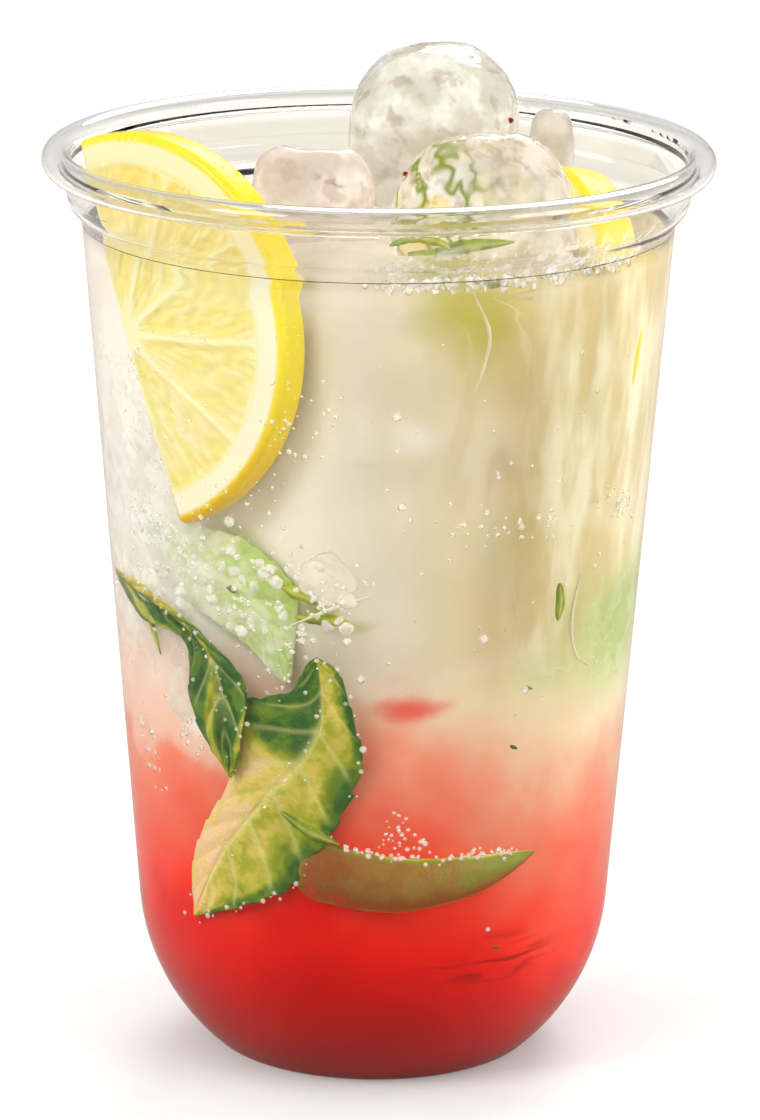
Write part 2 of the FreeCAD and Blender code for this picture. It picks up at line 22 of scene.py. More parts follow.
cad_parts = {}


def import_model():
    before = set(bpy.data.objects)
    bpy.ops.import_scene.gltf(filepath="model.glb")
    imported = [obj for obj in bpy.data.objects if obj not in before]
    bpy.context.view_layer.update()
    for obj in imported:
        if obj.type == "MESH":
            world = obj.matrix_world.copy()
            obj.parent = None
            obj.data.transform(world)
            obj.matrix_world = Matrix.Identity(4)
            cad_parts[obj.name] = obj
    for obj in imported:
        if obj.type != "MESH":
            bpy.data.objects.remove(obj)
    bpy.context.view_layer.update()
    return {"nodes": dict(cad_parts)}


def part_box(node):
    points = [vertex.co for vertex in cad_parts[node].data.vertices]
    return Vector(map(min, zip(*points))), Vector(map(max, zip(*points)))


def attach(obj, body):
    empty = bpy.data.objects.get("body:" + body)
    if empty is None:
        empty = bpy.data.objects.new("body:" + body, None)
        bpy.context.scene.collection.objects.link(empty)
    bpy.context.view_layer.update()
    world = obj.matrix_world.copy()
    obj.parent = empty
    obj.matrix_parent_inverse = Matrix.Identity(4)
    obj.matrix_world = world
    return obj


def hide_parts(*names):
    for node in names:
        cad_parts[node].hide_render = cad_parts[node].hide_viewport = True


LOG = logging.getLogger("lemon_soda")
MM = 0.001
BODY = "root"
EYE = 38.0  # the height on the axis from which the cup's inside is seen all round
MEASURED = (3.0, 128.0, 1.0)  # the lowest and the highest height at which it is measured, and the step

Point = tuple[float, float, float]
Edge = Sequence[tuple[float, float]]
Socket = bpy.types.NodeSocket
ORIGIN: Point = (0.0, 0.0, 0.0)


class Slot(Enum):
    """Names of the material slots."""

    CUP = "cup"
    SYRUP = "syrup"
    SODA = "soda"
    LEMON = "lemon"
    ICE = "ice"


class Cut(Enum):
    """How much of the lemon a slice is."""

    HALF = "half"
    WHOLE = "whole"


@dataclass(frozen=True)
class Tint:
    """A colour as a screen shows it, 0 to 255 a channel."""

    red: float
    green: float
    blue: float

    def linear(self) -> tuple[float, float, float, float]:
        """The colour as a shader socket takes it."""
        channels = []
        for value in (self.red, self.green, self.blue):
            share = value / 255.0
            channels.append(share / 12.92 if share <= 0.04045 else ((share + 0.055) / 1.055) ** 2.4)
        return (channels[0], channels[1], channels[2], 1.0)


WHITE = Tint(255, 255, 255)


def metres(lengths: Sequence[float]) -> tuple[float, ...]:
    """Lengths in millimetres as the shaders take them."""
    return tuple(length * MM for length in lengths)


# ------------------------------------------------------------------------------ node tools
class Bench:
    """A node tree on the bench, with short calls that place and join its nodes."""

    def __init__(self, tree: bpy.types.NodeTree) -> None:
        """Take over the tree of a material, a world or a group, and empty it."""
        self.tree = tree
        tree.nodes.clear()

    def feed(self, socket: Socket, value: object) -> None:
        """Join a socket to another one, or set its value.

        Args:
            socket: the input.
            value: an output socket, a colour or a plain value.
        """
        if isinstance(value, bpy.types.NodeSocket):
            self.tree.links.new(value, socket)
        else:
            socket.default_value = value.linear() if isinstance(value, Tint) else value

    def put(self, kind: str, feeds: dict | None = None, **settings: object) -> bpy.types.Node:
        """Place one node.

        Args:
            kind: the node's type, without the words that all types start with.
            feeds: its inputs, by name or number.
            settings: its own properties.

        Returns:
            The node.
        """
        node = self.tree.nodes.new("ShaderNode" + kind)
        for name, value in settings.items():
            setattr(node, name, value)
        for socket, value in (feeds or {}).items():
            self.feed(node.inputs[socket], value)
        return node

    def sum(self, operation: str, first: object, second: object = 0.0, clamp: bool = False) -> Socket:
        """Do one sum on two numbers or outputs; with clamp the answer stays from 0 to 1."""
        return self.put("Math", {0: first, 1: second}, operation=operation, use_clamp=clamp).outputs[0]

    def times(self, first: object, second: object) -> Socket:
        """Multiply two numbers."""
        return self.sum("MULTIPLY", first, second)

    def vector(self, operation: str, first: object, second: object) -> Socket:
        """Do one sum on two vectors or outputs, part by part."""
        return self.put("VectorMath", {0: first, 1: second}, operation=operation).outputs[0]

    def remap(self, value: object, low: object, high: object, to_low: float = 0.0,
              to_high: float = 1.0) -> Socket:
        """Spread a number smoothly from one range to another.

        Args:
            value: the number.
            low: where it starts.
            high: where it ends.
            to_low: the answer at the start.
            to_high: the answer at the end.

        Returns:
            The answer's socket.
        """
        limits = {"From Min": low, "From Max": high, "To Min": to_low, "To Max": to_high}
        node = self.put("MapRange", {"Value": value, **limits}, interpolation_type="SMOOTHSTEP")
        return node.outputs["Result"]

    def ease(self, length: Socket, low: float, high: float, to_low: float = 0.0,
             to_high: float = 1.0) -> Socket:
        """Spread a length in metres smoothly between two limits in millimetres, as remap does."""
        return self.remap(length, low * MM, high * MM, to_low, to_high)

    def blend(self, mask: object, under: object, over: object, how: str = "MIX") -> Socket:
        """Lay one colour over another.

        Args:
            mask: how much of the upper one shows.
            under: the lower colour.
            over: the upper colour.
            how: the Mix node's way of blending.

        Returns:
            The colour's socket.
        """
        node = self.put("Mix", data_type="RGBA", blend_type=how)
        for number, value in ((0, mask), (6, under), (7, over)):
            self.feed(node.inputs[number], value)
        return node.outputs[2]

    def ramp(self, value: object, stops: Sequence[tuple[float, Tint]]) -> Socket:
        """Turn a number into a colour.

        Args:
            value: the number, 0 to 1.
            stops: places and colours.

        Returns:
            The colour's socket.
        """
        node = self.put("ValToRGB", {0: value})
        bar = node.color_ramp.elements
        while len(bar) < len(stops):
            bar.new(1.0)
        for element, (place, tint) in zip(bar, stops):
            element.position = place
            element.color = tint.linear()
        return node.outputs[0]

    def effect(self, effect: Effect, **feeds: object) -> Socket:
        """Place a shared effect.

        Args:
            effect: the effect.
            feeds: its inputs.

        Returns:
            Its output.
        """
        node = self.put("Group")
        node.node_tree = effect.group()
        for socket, value in feeds.items():
            self.feed(node.inputs[socket], value)
        return node.outputs[0]

    def mottle(self, place: Socket, size: float, low: float, high: float) -> Socket:
        """Soft blotches of a size in millimetres, from one height of the noise to another."""
        return self.effect(MOTTLE, Place=place, Size=size * MM, Low=low, High=high)

    def patch(self, place: Socket, middle: Point, reach: Point, edge: float) -> Socket:
        """A soft-edged patch, its middle and reach in millimetres."""
        return self.effect(PATCH, Place=place, Middle=metres(middle), Reach=metres(reach), Edge=edge)

    def threads(self, place: Socket, size: float, width: float) -> Socket:
        """Winding lines of a size in millimetres."""
        return self.effect(THREADS, Place=place, Size=size * MM, Width=width)

    def pores(self, place: Socket, size: float, spread: float) -> Socket:
        """Rounded cells of a size in millimetres."""
        return self.effect(CELLS, Place=place, Size=size * MM, Spread=spread)

    def bump(self, shader: bpy.types.Node, height: Socket, distance: float, strength: float) -> None:
        """Give a shader a fine relief: how high it stands in millimetres, and how much of it shows."""
        relief = self.put("Bump", {"Height": height, "Distance": distance * MM, "Strength": strength})
        self.feed(shader.inputs["Normal"], relief.outputs[0])

    def stored(self, name: str, output: str = "Fac") -> Socket:
        """Read a value that was stored on the piece's points."""
        return self.put("Attribute", attribute_name=name).outputs[output]

    def place(self) -> Socket:
        """The point's own place on the object, in metres."""
        return self.put("TexCoord").outputs["Object"]

    def along_axis(self, axis: str) -> Socket:
        """The point's own place along X, Y or Z."""
        return self.put("SeparateXYZ", {0: self.place()}).outputs[axis]

    def mirror_ray(self) -> Socket:
        """1 for a ray that a surface mirrors, 0 for one that is seen or that passes through."""
        ray = self.put("LightPath").outputs
        return self.sum("SUBTRACT", ray["Is Glossy Ray"], ray["Is Transmission Ray"], clamp=True)


@dataclass
class Effect:
    """A shader effect that several finishes share, as a group with one output, made when first used."""

    name: str
    inputs: dict[str, object]
    lay_out: Callable[[Bench, bpy.types.NodeOutputs], Socket]
    output: str = "Mask"
    tree: bpy.types.NodeTree | None = None

    def group(self) -> bpy.types.NodeTree:
        """Make the group, or find it.

        Returns:
            The group.
        """
        if self.tree is None:
            self.tree = bpy.data.node_groups.new(self.name, "ShaderNodeTree")
            sockets = self.tree.interface
            for label, value in {"Place": ORIGIN, **self.inputs}.items():
                kind = "NodeSocketVector" if isinstance(value, tuple) else "NodeSocketFloat"
                sockets.new_socket(label, in_out="INPUT", socket_type=kind).default_value = value
            sockets.new_socket(self.output, in_out="OUTPUT", socket_type="NodeSocketFloat")
            bench = Bench(self.tree)
            answer = self.lay_out(bench, self.tree.nodes.new("NodeGroupInput").outputs)
            bench.feed(self.tree.nodes.new("NodeGroupOutput").inputs[0], answer)
        return self.tree


def lay_mottle(bench: Bench, given: bpy.types.NodeOutputs) -> Socket:
    """Soft cloudy blotches of a given size.

    Args:
        bench: the group's bench.
        given: its inputs.

    Returns:
        The mask.
    """
    spots = bench.put("TexNoise", {"Vector": given["Place"], "Detail": 3.0, "Roughness": 0.55,
                                   "Scale": bench.sum("DIVIDE", 1.0, given["Size"])})
    return bench.remap(spots.outputs[0], given["Low"], given["High"])


def lay_patch(bench: Bench, given: bpy.types.NodeOutputs) -> Socket:
    """One soft-edged egg-shaped patch at a place on the object.

    Args:
        bench: the group's bench.
        given: its inputs.

    Returns:
        The mask.
    """
    away = bench.vector("SUBTRACT", given["Place"], given["Middle"])
    share = bench.vector("DIVIDE", away, given["Reach"])
    far = bench.put("VectorMath", {0: share}, operation="LENGTH").outputs["Value"]
    return bench.remap(far, bench.sum("SUBTRACT", 1.0, given["Edge"]), 1.0, 1.0, 0.0)


def lay_cells(bench: Bench, given: bpy.types.NodeOutputs) -> Socket:
    """Rounded cells, as pores or juice sacs.

    Args:
        bench: the group's bench.
        given: its inputs.

    Returns:
        The height.
    """
    scale = bench.sum("DIVIDE", 1.0, given["Size"])
    cell = bench.put("TexVoronoi", {"Vector": given["Place"], "Scale": scale}, feature="F1")
    return bench.remap(cell.outputs["Distance"], 0.0, given["Spread"], 1.0, 0.0)


def lay_threads(bench: Bench, given: bpy.types.NodeOutputs) -> Socket:
    """Thin winding lines, as fibres, wisps or swirls.

    Args:
        bench: the group's bench.
        given: its inputs.

    Returns:
        The mask.
    """
    waves = bench.put("TexNoise", {"Vector": given["Place"], "Detail": 2.0, "Roughness": 0.5,
                                   "Scale": bench.sum("DIVIDE", 1.0, given["Size"]), "Distortion": 0.4})
    away = bench.sum("ABSOLUTE", bench.sum("SUBTRACT", waves.outputs[0], 0.5))
    return bench.remap(away, 0.0, given["Width"], 1.0, 0.0)


MOTTLE = Effect("soft_mottle", {"Size": 0.01, "Low": 0.4, "High": 0.6}, lay_mottle)
PATCH = Effect("soft_patch", {"Middle": ORIGIN, "Reach": (0.01, 0.01, 0.01), "Edge": 0.6}, lay_patch)
CELLS = Effect("rounded_cells", {"Size": 0.001, "Spread": 0.7}, lay_cells, "Height")
THREADS = Effect("winding_threads", {"Size": 0.01, "Width": 0.03}, lay_threads)


# ------------------------------------------------------------------------------ finishes
class Finish:
    """What every finish shares: a material with a Principled shader and its output."""

    name = "finish"
    roughness = 0.5
    gloss = 0.5
    lets_light_through = False

    def plain(self) -> dict[str, object]:
        """The shader's values that are the same all over."""
        return {"Roughness": self.roughness, "Specular IOR Level": self.gloss}

    def dress(self, bench: Bench, shader: bpy.types.Node) -> None:
        """Lay out what changes over the surface, on the material's bench and its shader."""

    def build(self) -> bpy.types.Material:
        """Make the material.

        Returns:
            The material.
        """
        material = bpy.data.materials.new(self.name)
        material.use_nodes = True
        bench = Bench(material.node_tree)
        shader = bench.put("BsdfPrincipled", self.plain())
        self.dress(bench, shader)
        surface = shader.outputs[0]
        if self.lets_light_through:
            shadow = bench.put("LightPath").outputs["Is Shadow Ray"]
            surface = bench.put("MixShader", {0: shadow, 1: surface,
                                              2: bench.put("BsdfTransparent").outputs[0]}).outputs[0]
        bench.put("OutputMaterial", {"Surface": surface})
        return material


@dataclass(frozen=True)
class ClearFinish(Finish):
    """A clear finish: plastic, liquid, bubble or drop."""

    name: str = "clear"
    tint: Tint = WHITE
    index: float = 1.5
    roughness: float = 0.0
    gleam: Tint = WHITE
    full_gleam_above: tuple[float, float] | None = None
    # Painted shade: the grey laid on the back of the wall above the drink, and the heights where it rises and
    # fades.
    shaded_back: Tint | None = None
    back_shade_heights: tuple[float, float, float, float] = (120.5, 122.0, 126.5, 128.5)
    milk: float = 0.0
    lets_light_through = True

    def plain(self) -> dict[str, object]:
        """The shader's values that are the same all over."""
        return {"Base Color": self.tint, "IOR": self.index, "Roughness": self.roughness,
                "Transmission Weight": 1.0 - self.milk, "Specular Tint": self.gleam}

    def dress(self, bench: Bench, shader: bpy.types.Node) -> None:
        """Let the rim gleam in full, and paint a grey shade on the back of the wall above the drink.

        Args:
            bench: the material's bench.
            shader: its shader.
        """
        if self.full_gleam_above:
            share = bench.ease(bench.along_axis("Z"), *self.full_gleam_above)
            bench.feed(shader.inputs["Specular Tint"], bench.blend(share, self.gleam, WHITE))
        # Painted shade: grey over the back of the wall above the drink, between the given heights.
        if self.shaded_back:
            height = bench.along_axis("Z")
            low, full, fade, high = self.back_shade_heights
            share = bench.times(bench.ease(height, low, full), bench.ease(height, fade, high, 1.0, 0.0))
            share = bench.times(share, bench.ease(bench.along_axis("Y"), 0.0, 20.0))
            bench.feed(shader.inputs["Base Color"], bench.blend(share, self.tint, self.shaded_back))


@dataclass(frozen=True)
class IceFinish(Finish):
    """Melting ice: clear and cloudy by turns, wet outside."""

    name: str = "ice"
    clear: Tint = Tint(250, 251, 250)
    cloud: Tint = Tint(212, 209, 199)
    shade: Tint = Tint(186, 176, 160)
    index: float = 1.31
    milk: float = 0.42
    roughness: float = 0.05
    ripple: float = 0.45
    ripple_size: float = 7.0
    spot_size: float = 6.0
    mint: tuple[Point, Point] | None = None
    leaf: Tint = Tint(112, 138, 18)
    stalk: Tint = Tint(232, 214, 150)
    lets_light_through = True

    def plain(self) -> dict[str, object]:
        """The shader's values that are the same all over."""
        return {"IOR": self.index, "Roughness": self.roughness, "Transmission Weight": 1.0 - self.milk}

    def dress(self, bench: Bench, shader: bpy.types.Node) -> None:
        """Cloud the ice, tuck the mint in and ripple the surface.

        Args:
            bench: the material's bench.
            shader: its shader.
        """
        place = bench.place()
        cloudy = bench.mottle(place, self.spot_size, 0.36, 0.6)
        darker = bench.mottle(place, 0.6 * self.spot_size, 0.52, 0.68)
        colour = bench.blend(cloudy, self.clear, self.cloud)
        colour = bench.blend(bench.times(darker, 0.8), colour, self.shade)
        if self.mint:
            colour = self.tuck_mint(bench, place, colour)
        bench.feed(shader.inputs["Base Color"], colour)
        bench.bump(shader, bench.mottle(place, self.ripple_size, 0.1, 0.9), 1.0, self.ripple)

    def tuck_mint(self, bench: Bench, place: Socket, colour: Socket) -> Socket:
        """Let threads of mint show through one part of the ice.

        Args:
            bench: the material's bench.
            place: the point's place.
            colour: the ice's colour.

        Returns:
            The new colour.
        """
        middle, reach = self.mint
        share = bench.patch(place, middle, reach, 0.5)
        pale = bench.mottle(place, 7.0, 0.5, 0.6)
        colour = bench.blend(bench.times(share, pale), colour, self.stalk)
        return bench.blend(bench.times(share, bench.threads(place, 5.0, 0.09)), colour, self.leaf)


@dataclass(frozen=True)
class HeartFinish(Finish):
    """The cloudy middle: milky soda above, salmon below it and red syrup at the foot."""

    name: str = "cloudy_drink"
    roughness: float = 0.7
    gloss: float = 0.0
    half_width: float = 32.0
    # Painted shade: this colour darkens the top of the cloudy middle towards the surface.
    shade_under_surface: Tint = Tint(216, 208, 208)
    blush: Tint = Tint(247, 208, 188)
    # The reds deepen towards the foot: partly the syrup's own deeper red, partly painted shade.
    syrup: tuple[tuple[float, Tint], ...] = (
        (0.0, Tint(194, 4, 1)), (6.0, Tint(198, 4, 1)), (12.0, Tint(200, 4, 1)),
        (18.0, Tint(210, 6, 1)), (24.5, Tint(234, 16, 2)), (30.0, Tint(250, 52, 30)),
        (36.0, Tint(248, 86, 62)), (42.0, Tint(247, 114, 88)), (48.0, Tint(247, 144, 116)),
        (53.0, Tint(244, 170, 140)), (58.0, Tint(242, 192, 162)), (64.0, Tint(240, 214, 188)))
    soda: tuple[tuple[float, Tint], ...] = (
        (-32.0, Tint(254, 252, 248)), (-20.0, Tint(250, 247, 236)), (-8.0, Tint(246, 240, 226)),
        (0.0, Tint(240, 230, 208)), (7.0, Tint(240, 226, 194)), (14.0, Tint(244, 226, 183)),
        (20.0, Tint(242, 224, 182)), (25.0, Tint(248, 234, 192)), (31.0, Tint(254, 247, 212)))
    # Patches of mint, ice and pink seen in the drink, and one painted highlight.
    patches_and_glint: tuple[tuple[Point, Point, Tint, float], ...] = (
        ((12.5, -26.0, 113.5), (13.0, 18.0, 11.0), Tint(184, 176, 80), 0.95),
        ((15.0, -25.0, 107.0), (9.0, 14.0, 10.0), Tint(212, 196, 126), 0.6),
        ((-18.0, -22.0, 79.0), (9.0, 12.0, 6.5), Tint(206, 226, 140), 0.85),
        ((-13.5, -25.0, 73.5), (6.0, 12.0, 4.5), Tint(176, 204, 96), 0.7),
        ((-24.5, -15.0, 76.0), (7.0, 12.0, 6.0), Tint(224, 236, 196), 0.8),
        ((-7.5, -27.0, 72.0), (3.6, 9.0, 2.0), Tint(178, 184, 92), 0.75),
        ((-3.5, -28.0, 70.0), (4.0, 9.0, 1.6), Tint(198, 196, 110), 0.6),
        ((18.5, -21.0, 73.0), (1.6, 8.0, 2.4), Tint(180, 190, 100), 0.7),
        ((25.0, -12.0, 69.0), (5.0, 14.0, 7.0), Tint(188, 226, 140), 0.95),
        ((21.0, -16.0, 62.0), (6.0, 14.0, 5.0), Tint(206, 222, 150), 0.85),
        ((5.0, -28.0, 58.4), (7.4, 9.0, 2.8), Tint(238, 92, 80), 0.9),
        ((-22.0, -20.0, 54.5), (5.0, 14.0, 3.6), Tint(254, 244, 236), 0.9),
        ((14.0, -24.0, 64.0), (8.0, 12.0, 3.0), Tint(250, 232, 206), 0.7),
        ((17.0, -22.0, 82.0), (10.0, 14.0, 9.0), Tint(214, 214, 150), 0.45),
        # Painted highlight: a bright white glint.
        ((5.2, -28.0, 98.0), (6.0, 12.0, 5.0), Tint(255, 253, 247), 1.0),
        ((-2.0, -28.0, 94.6), (4.5, 9.0, 1.2), Tint(206, 192, 168), 0.6))
    swirls: tuple[tuple[Point, Point, Tint, float], ...] = (
        ((15.0, -26.0, 20.0), (14.0, 20.0, 5.0), Tint(164, 10, 8), 0.9),
        ((16.0, -22.0, 104.0), (12.0, 18.0, 18.0), Tint(250, 238, 212), 0.55),
        ((15.0, -22.0, 100.0), (13.0, 18.0, 22.0), Tint(206, 180, 138), 0.5))
    streaks: tuple[tuple[float, Tint], ...] = ((9.0, Tint(254, 250, 242)), (13.0, Tint(220, 204, 168)))
    border_slopes: tuple[tuple[float, float, float, float], ...] = (
        (-30.0, -5.0, 0.5, -1.5), (0.0, 24.0, 0.0, 11.0))
    border_fray: float = 3.2
    patch_fray: float = 8.0
    soda_from: tuple[float, float] = (52.0, 70.0)
    # Painted shade: the heights over which the top darkens.
    painted_shade_from: tuple[float, float] = (96.0, 114.0)
    streaks_from: tuple[float, float] = (56.0, 72.0)
    blush_from: tuple[float, float] = (45.5, 51.5)
    blush_to: tuple[float, float] = (58.0, 70.0)
    blush_left_of: tuple[float, float] = (-20.0, -12.0)
    level: Point = (0.3, 0.3, 2.0)
    upright: Point = (1.0, 1.0, 0.35)

    def dress(self, bench: Bench, shader: bpy.types.Node) -> None:
        """Lay the syrup under the soda, then the streaks, the blush, the patches with their painted glint,
        and the swirls.

        Args:
            bench: the material's bench.
            shader: its shader.
        """
        place = bench.place()
        swirl = bench.put("TexNoise", {"Vector": place, "Scale": 70.0, "Detail": 4.0, "Roughness": 0.55})
        lift = bench.remap(swirl.outputs[0], 0.3, 0.7, -self.border_fray * MM, self.border_fray * MM)
        colour = self.lay_streaks(bench, place, self.lay_layers(bench, lift))
        colour = self.lay_blush(bench, lift, colour)
        stirred = bench.vector("ADD", place, self.stir(bench, swirl))
        for middle, reach, tint, most in self.patches_and_glint:
            mask = bench.patch(stirred, middle, reach, 0.8)
            colour = bench.blend(bench.times(mask, most), colour, tint)
        for number, (middle, reach, tint, most) in enumerate(self.swirls):
            moved = bench.vector("MULTIPLY", place, self.upright if number else self.level)
            lines = bench.threads(moved, 6.0 + 3 * number, 0.05)
            mask = bench.times(bench.patch(place, middle, reach, 0.7), lines)
            colour = bench.blend(bench.times(mask, most), colour, tint)
        bench.feed(shader.inputs["Base Color"], colour)

    def lay_layers(self, bench: Bench, lift: Socket) -> Socket:
        """Red syrup below, milky soda above, with a soft border that rises to the right, and painted shade
        that darkens the top towards the surface.

        Args:
            bench: the material's bench.
            lift: the border's uneven rise.

        Returns:
            The colour.
        """
        across, height = bench.along_axis("X"), bench.along_axis("Z")
        left, right = (bench.ease(across, start, end, first * MM, last * MM)
                       for start, end, first, last in self.border_slopes)
        level = bench.sum("ADD", bench.sum("ADD", height, lift), bench.sum("ADD", left, right))
        top = self.syrup[-1][0]
        share = bench.sum("DIVIDE", level, top * MM, clamp=True)
        red = bench.ramp(share, [(z / top, tint) for z, tint in self.syrup])
        width = 2 * self.half_width
        turn = bench.sum("ADD", bench.sum("DIVIDE", across, width * MM), 0.5, clamp=True)
        milky = bench.ramp(turn, [((x + self.half_width) / width, tint) for x, tint in self.soda])
        colour = bench.blend(bench.ease(level, *self.soda_from), red, milky)
        # Painted shade: darken the top towards the surface.
        shade_share = bench.ease(height, *self.painted_shade_from, 0.0, 0.55)
        return bench.blend(shade_share, colour, self.shade_under_surface, "MULTIPLY")

    def lay_streaks(self, bench: Bench, place: Socket, colour: Socket) -> Socket:
        """Lay pale and dull upright streaks over the soda.

        Args:
            bench: the material's bench.
            place: the point's place.
            colour: the drink's colour.

        Returns:
            The new colour.
        """
        upper = bench.ease(bench.along_axis("Z"), *self.streaks_from)
        streaked = bench.vector("MULTIPLY", place, (1.0, 1.0, 0.3))
        for size, tint in self.streaks:
            shifted = bench.vector("ADD", streaked, (size, 0.3 * size, 0.0))
            mask = bench.times(bench.mottle(shifted, size, 0.42, 0.72), upper)
            colour = bench.blend(bench.times(mask, 0.3), colour, tint)
        return colour

    def lay_blush(self, bench: Bench, lift: Socket, colour: Socket) -> Socket:
        """Lay a pink blush at the left, above the syrup.

        Args:
            bench: the material's bench.
            lift: the border's uneven rise.
            colour: the drink's colour.

        Returns:
            The new colour.
        """
        height = bench.along_axis("Z")
        share = bench.times(bench.ease(bench.along_axis("X"), *self.blush_left_of, 1.0, 0.0),
                            bench.ease(bench.sum("ADD", height, lift), *self.blush_from))
        share = bench.times(share, bench.ease(height, *self.blush_to, 0.85, 0.0))
        return bench.blend(share, colour, self.blush)

    def stir(self, bench: Bench, swirl: bpy.types.Node) -> Socket:
        """A small shift of place, from the swirl's noise, that frays the edges of the patches."""
        moved = bench.vector("SUBTRACT", swirl.outputs["Color"], (0.5, 0.5, 0.5))
        scaled = bench.put("VectorMath", {0: moved, "Scale": self.patch_fray * MM}, operation="SCALE")
        return scaled.outputs[0]


@dataclass(frozen=True)
class LemonFinish(Finish):
    """Lemon: oily zest, white pith and wet juice sacs, told apart by what the slice stores."""

    name: str = "lemon"
    roughness: float = 0.28
    gloss: float = 0.4
    zest: Tint = Tint(255, 234, 52)
    deep_zest: Tint = Tint(255, 206, 14)
    pith: Tint = Tint(254, 249, 218)
    pulp: Tint = Tint(247, 230, 128)
    pale_pulp: Tint = Tint(251, 243, 184)
    skin: Tint = Tint(254, 248, 200)
    # Painted shade: the slice is darker above the drink.
    shade_above_drink: Tint = Tint(238, 228, 200)
    bright_from: tuple[float, float] = (82.0, 112.0)
    painted_shade_from: tuple[float, float] = (116.0, 124.0)

    def dress(self, bench: Bench, shader: bpy.types.Node) -> None:
        """Colour pulp, skins, pith and zest, and give sacs and pores their relief.

        Args:
            bench: the material's bench.
            shader: its shader.
        """
        place, height = bench.place(), bench.along_axis("Z")
        zest_share = bench.stored("zest_share")
        zest = bench.blend(bench.ease(height, *self.bright_from), self.deep_zest, self.zest)
        sacs = bench.effect(CELLS, Place=bench.stored("sac_place", "Vector"), Size=1.0, Spread=0.75)
        blotch = bench.mottle(place, 5.0, 0.4, 0.62)
        pale = bench.sum("ADD", bench.times(sacs, 0.65), bench.times(blotch, 0.4), clamp=True)
        colour = bench.blend(pale, self.pulp, self.pale_pulp)
        colour = bench.blend(bench.stored("skin_share"), colour, self.skin)
        colour = bench.blend(bench.stored("pith_share"), colour, self.pith)
        colour = bench.blend(zest_share, colour, zest)
        # Painted shade: darken the slice above the drink.
        colour = bench.blend(bench.ease(height, *self.painted_shade_from), colour, self.shade_above_drink, "MULTIPLY")
        bench.feed(shader.inputs["Base Color"], colour)
        dents = bench.times(bench.pores(place, 1.1, 0.5), zest_share)
        swell = bench.times(sacs, bench.stored("pulp_share"))
        bench.bump(shader, bench.sum("SUBTRACT", swell, bench.times(dents, 0.6)), 0.35, 0.4)


@dataclass(frozen=True)
class LeafFinish(Finish):
    """Mint or lime skin, from deep green to pale, by the tone that the piece stores."""

    name: str = "mint"
    roughness: float = 0.35
    gloss: float = 0.35
    tones: tuple[Tint, ...] = (Tint(40, 96, 10), Tint(104, 136, 14), Tint(178, 180, 36), Tint(232, 208, 100),
                               Tint(246, 206, 156))
    vein: Tint = Tint(238, 234, 150)
    vein_share: float = 0.6
    mottle_size: float = 2.6
    mottle_share: float = 0.1

    def dress(self, bench: Bench, shader: bpy.types.Node) -> None:
        """Turn the stored tone into a blotched green, and lay the veins over it.

        Args:
            bench: the material's bench.
            shader: its shader.
        """
        place = bench.place()
        blotch = bench.mottle(place, self.mottle_size, 0.35, 0.65)
        shift = bench.remap(blotch, 0.0, 1.0, -self.mottle_share, self.mottle_share)
        stops = list(zip(np.linspace(0.0, 1.0, len(self.tones)), self.tones))
        colour = bench.ramp(bench.sum("ADD", bench.stored("tone"), shift, clamp=True), stops)
        veins = bench.times(bench.stored("vein"), self.vein_share)
        bench.feed(shader.inputs["Base Color"], bench.blend(veins, colour, self.vein))
        bench.bump(shader, bench.pores(place, 0.7, 0.7), 0.1, 0.6)


# ------------------------------------------------------------------------------ mesh tools
def add_object(name: str, data: bpy.types.ID) -> bpy.types.Object:
    """Put a new object with some data in the scene."""
    added = bpy.data.objects.new(name, data)
    bpy.context.scene.collection.objects.link(added)
    return added


def applied(piece: bpy.types.Object) -> bpy.types.Mesh:
    """The mesh that a piece has with its modifiers applied."""
    graph = bpy.context.evaluated_depsgraph_get()
    graph.update()
    return bpy.data.meshes.new_from_object(piece.evaluated_get(graph))


def make_piece(name: str, points: np.ndarray, faces: Sequence[Sequence[int]],
               material: bpy.types.Material) -> bpy.types.Object:
    """Make an object from points in millimetres.

    Args:
        name: the piece's name.
        points: its points, one a row.
        faces: the point numbers round each face.
        material: its finish.

    Returns:
        The object.
    """
    mesh = bpy.data.meshes.new(name)
    mesh.from_pydata((np.asarray(points) * MM).tolist(), [], [list(map(int, f)) for f in faces])
    mesh.update()
    mesh.shade_smooth()
    mesh.materials.append(material)
    return add_object(name, mesh)


def store(piece: bpy.types.Object, name: str, values: np.ndarray) -> None:
    """Store a number or a vector on each of a piece's points.

    Args:
        piece: the piece.
        name: what the finish calls it.
        values: one value or one row a point.
    """
    kind, key = ("FLOAT_VECTOR", "vector") if values.ndim == 2 else ("FLOAT", "value")
    layer = piece.data.attributes.new(name, kind, "POINT")
    layer.data.foreach_set(key, np.ascontiguousarray(values, np.float32).ravel())


def grid_faces(rows: int, columns: int, closed: bool = False, first: int = 0) -> list[tuple]:
    """Quads over a grid of points kept row by row.

    Args:
        rows: how many rows.
        columns: how many points a row.
        closed: whether each row closes on itself.
        first: the number of the first point.

    Returns:
        The faces.
    """
    faces = []
    last = columns if closed else columns - 1
    for row in range(rows - 1):
        for column in range(last):
            near, far = first + row * columns, first + (row + 1) * columns
            after = (column + 1) % columns
            faces.append((near + column, near + after, far + after, far + column))
    return faces


def end_fans(rows: int, columns: int) -> list[tuple]:
    """Triangles that close both ends of a tube, to a foot point and a top point kept after its rows.

    Args:
        rows: how many rows the tube has.
        columns: how many points a row.

    Returns:
        The faces.
    """
    foot, last = rows * columns, (rows - 1) * columns
    faces = []
    for column in range(columns):
        after = (column + 1) % columns
        faces += [(foot, after, column), (foot + 1, last + column, last + after)]
    return faces


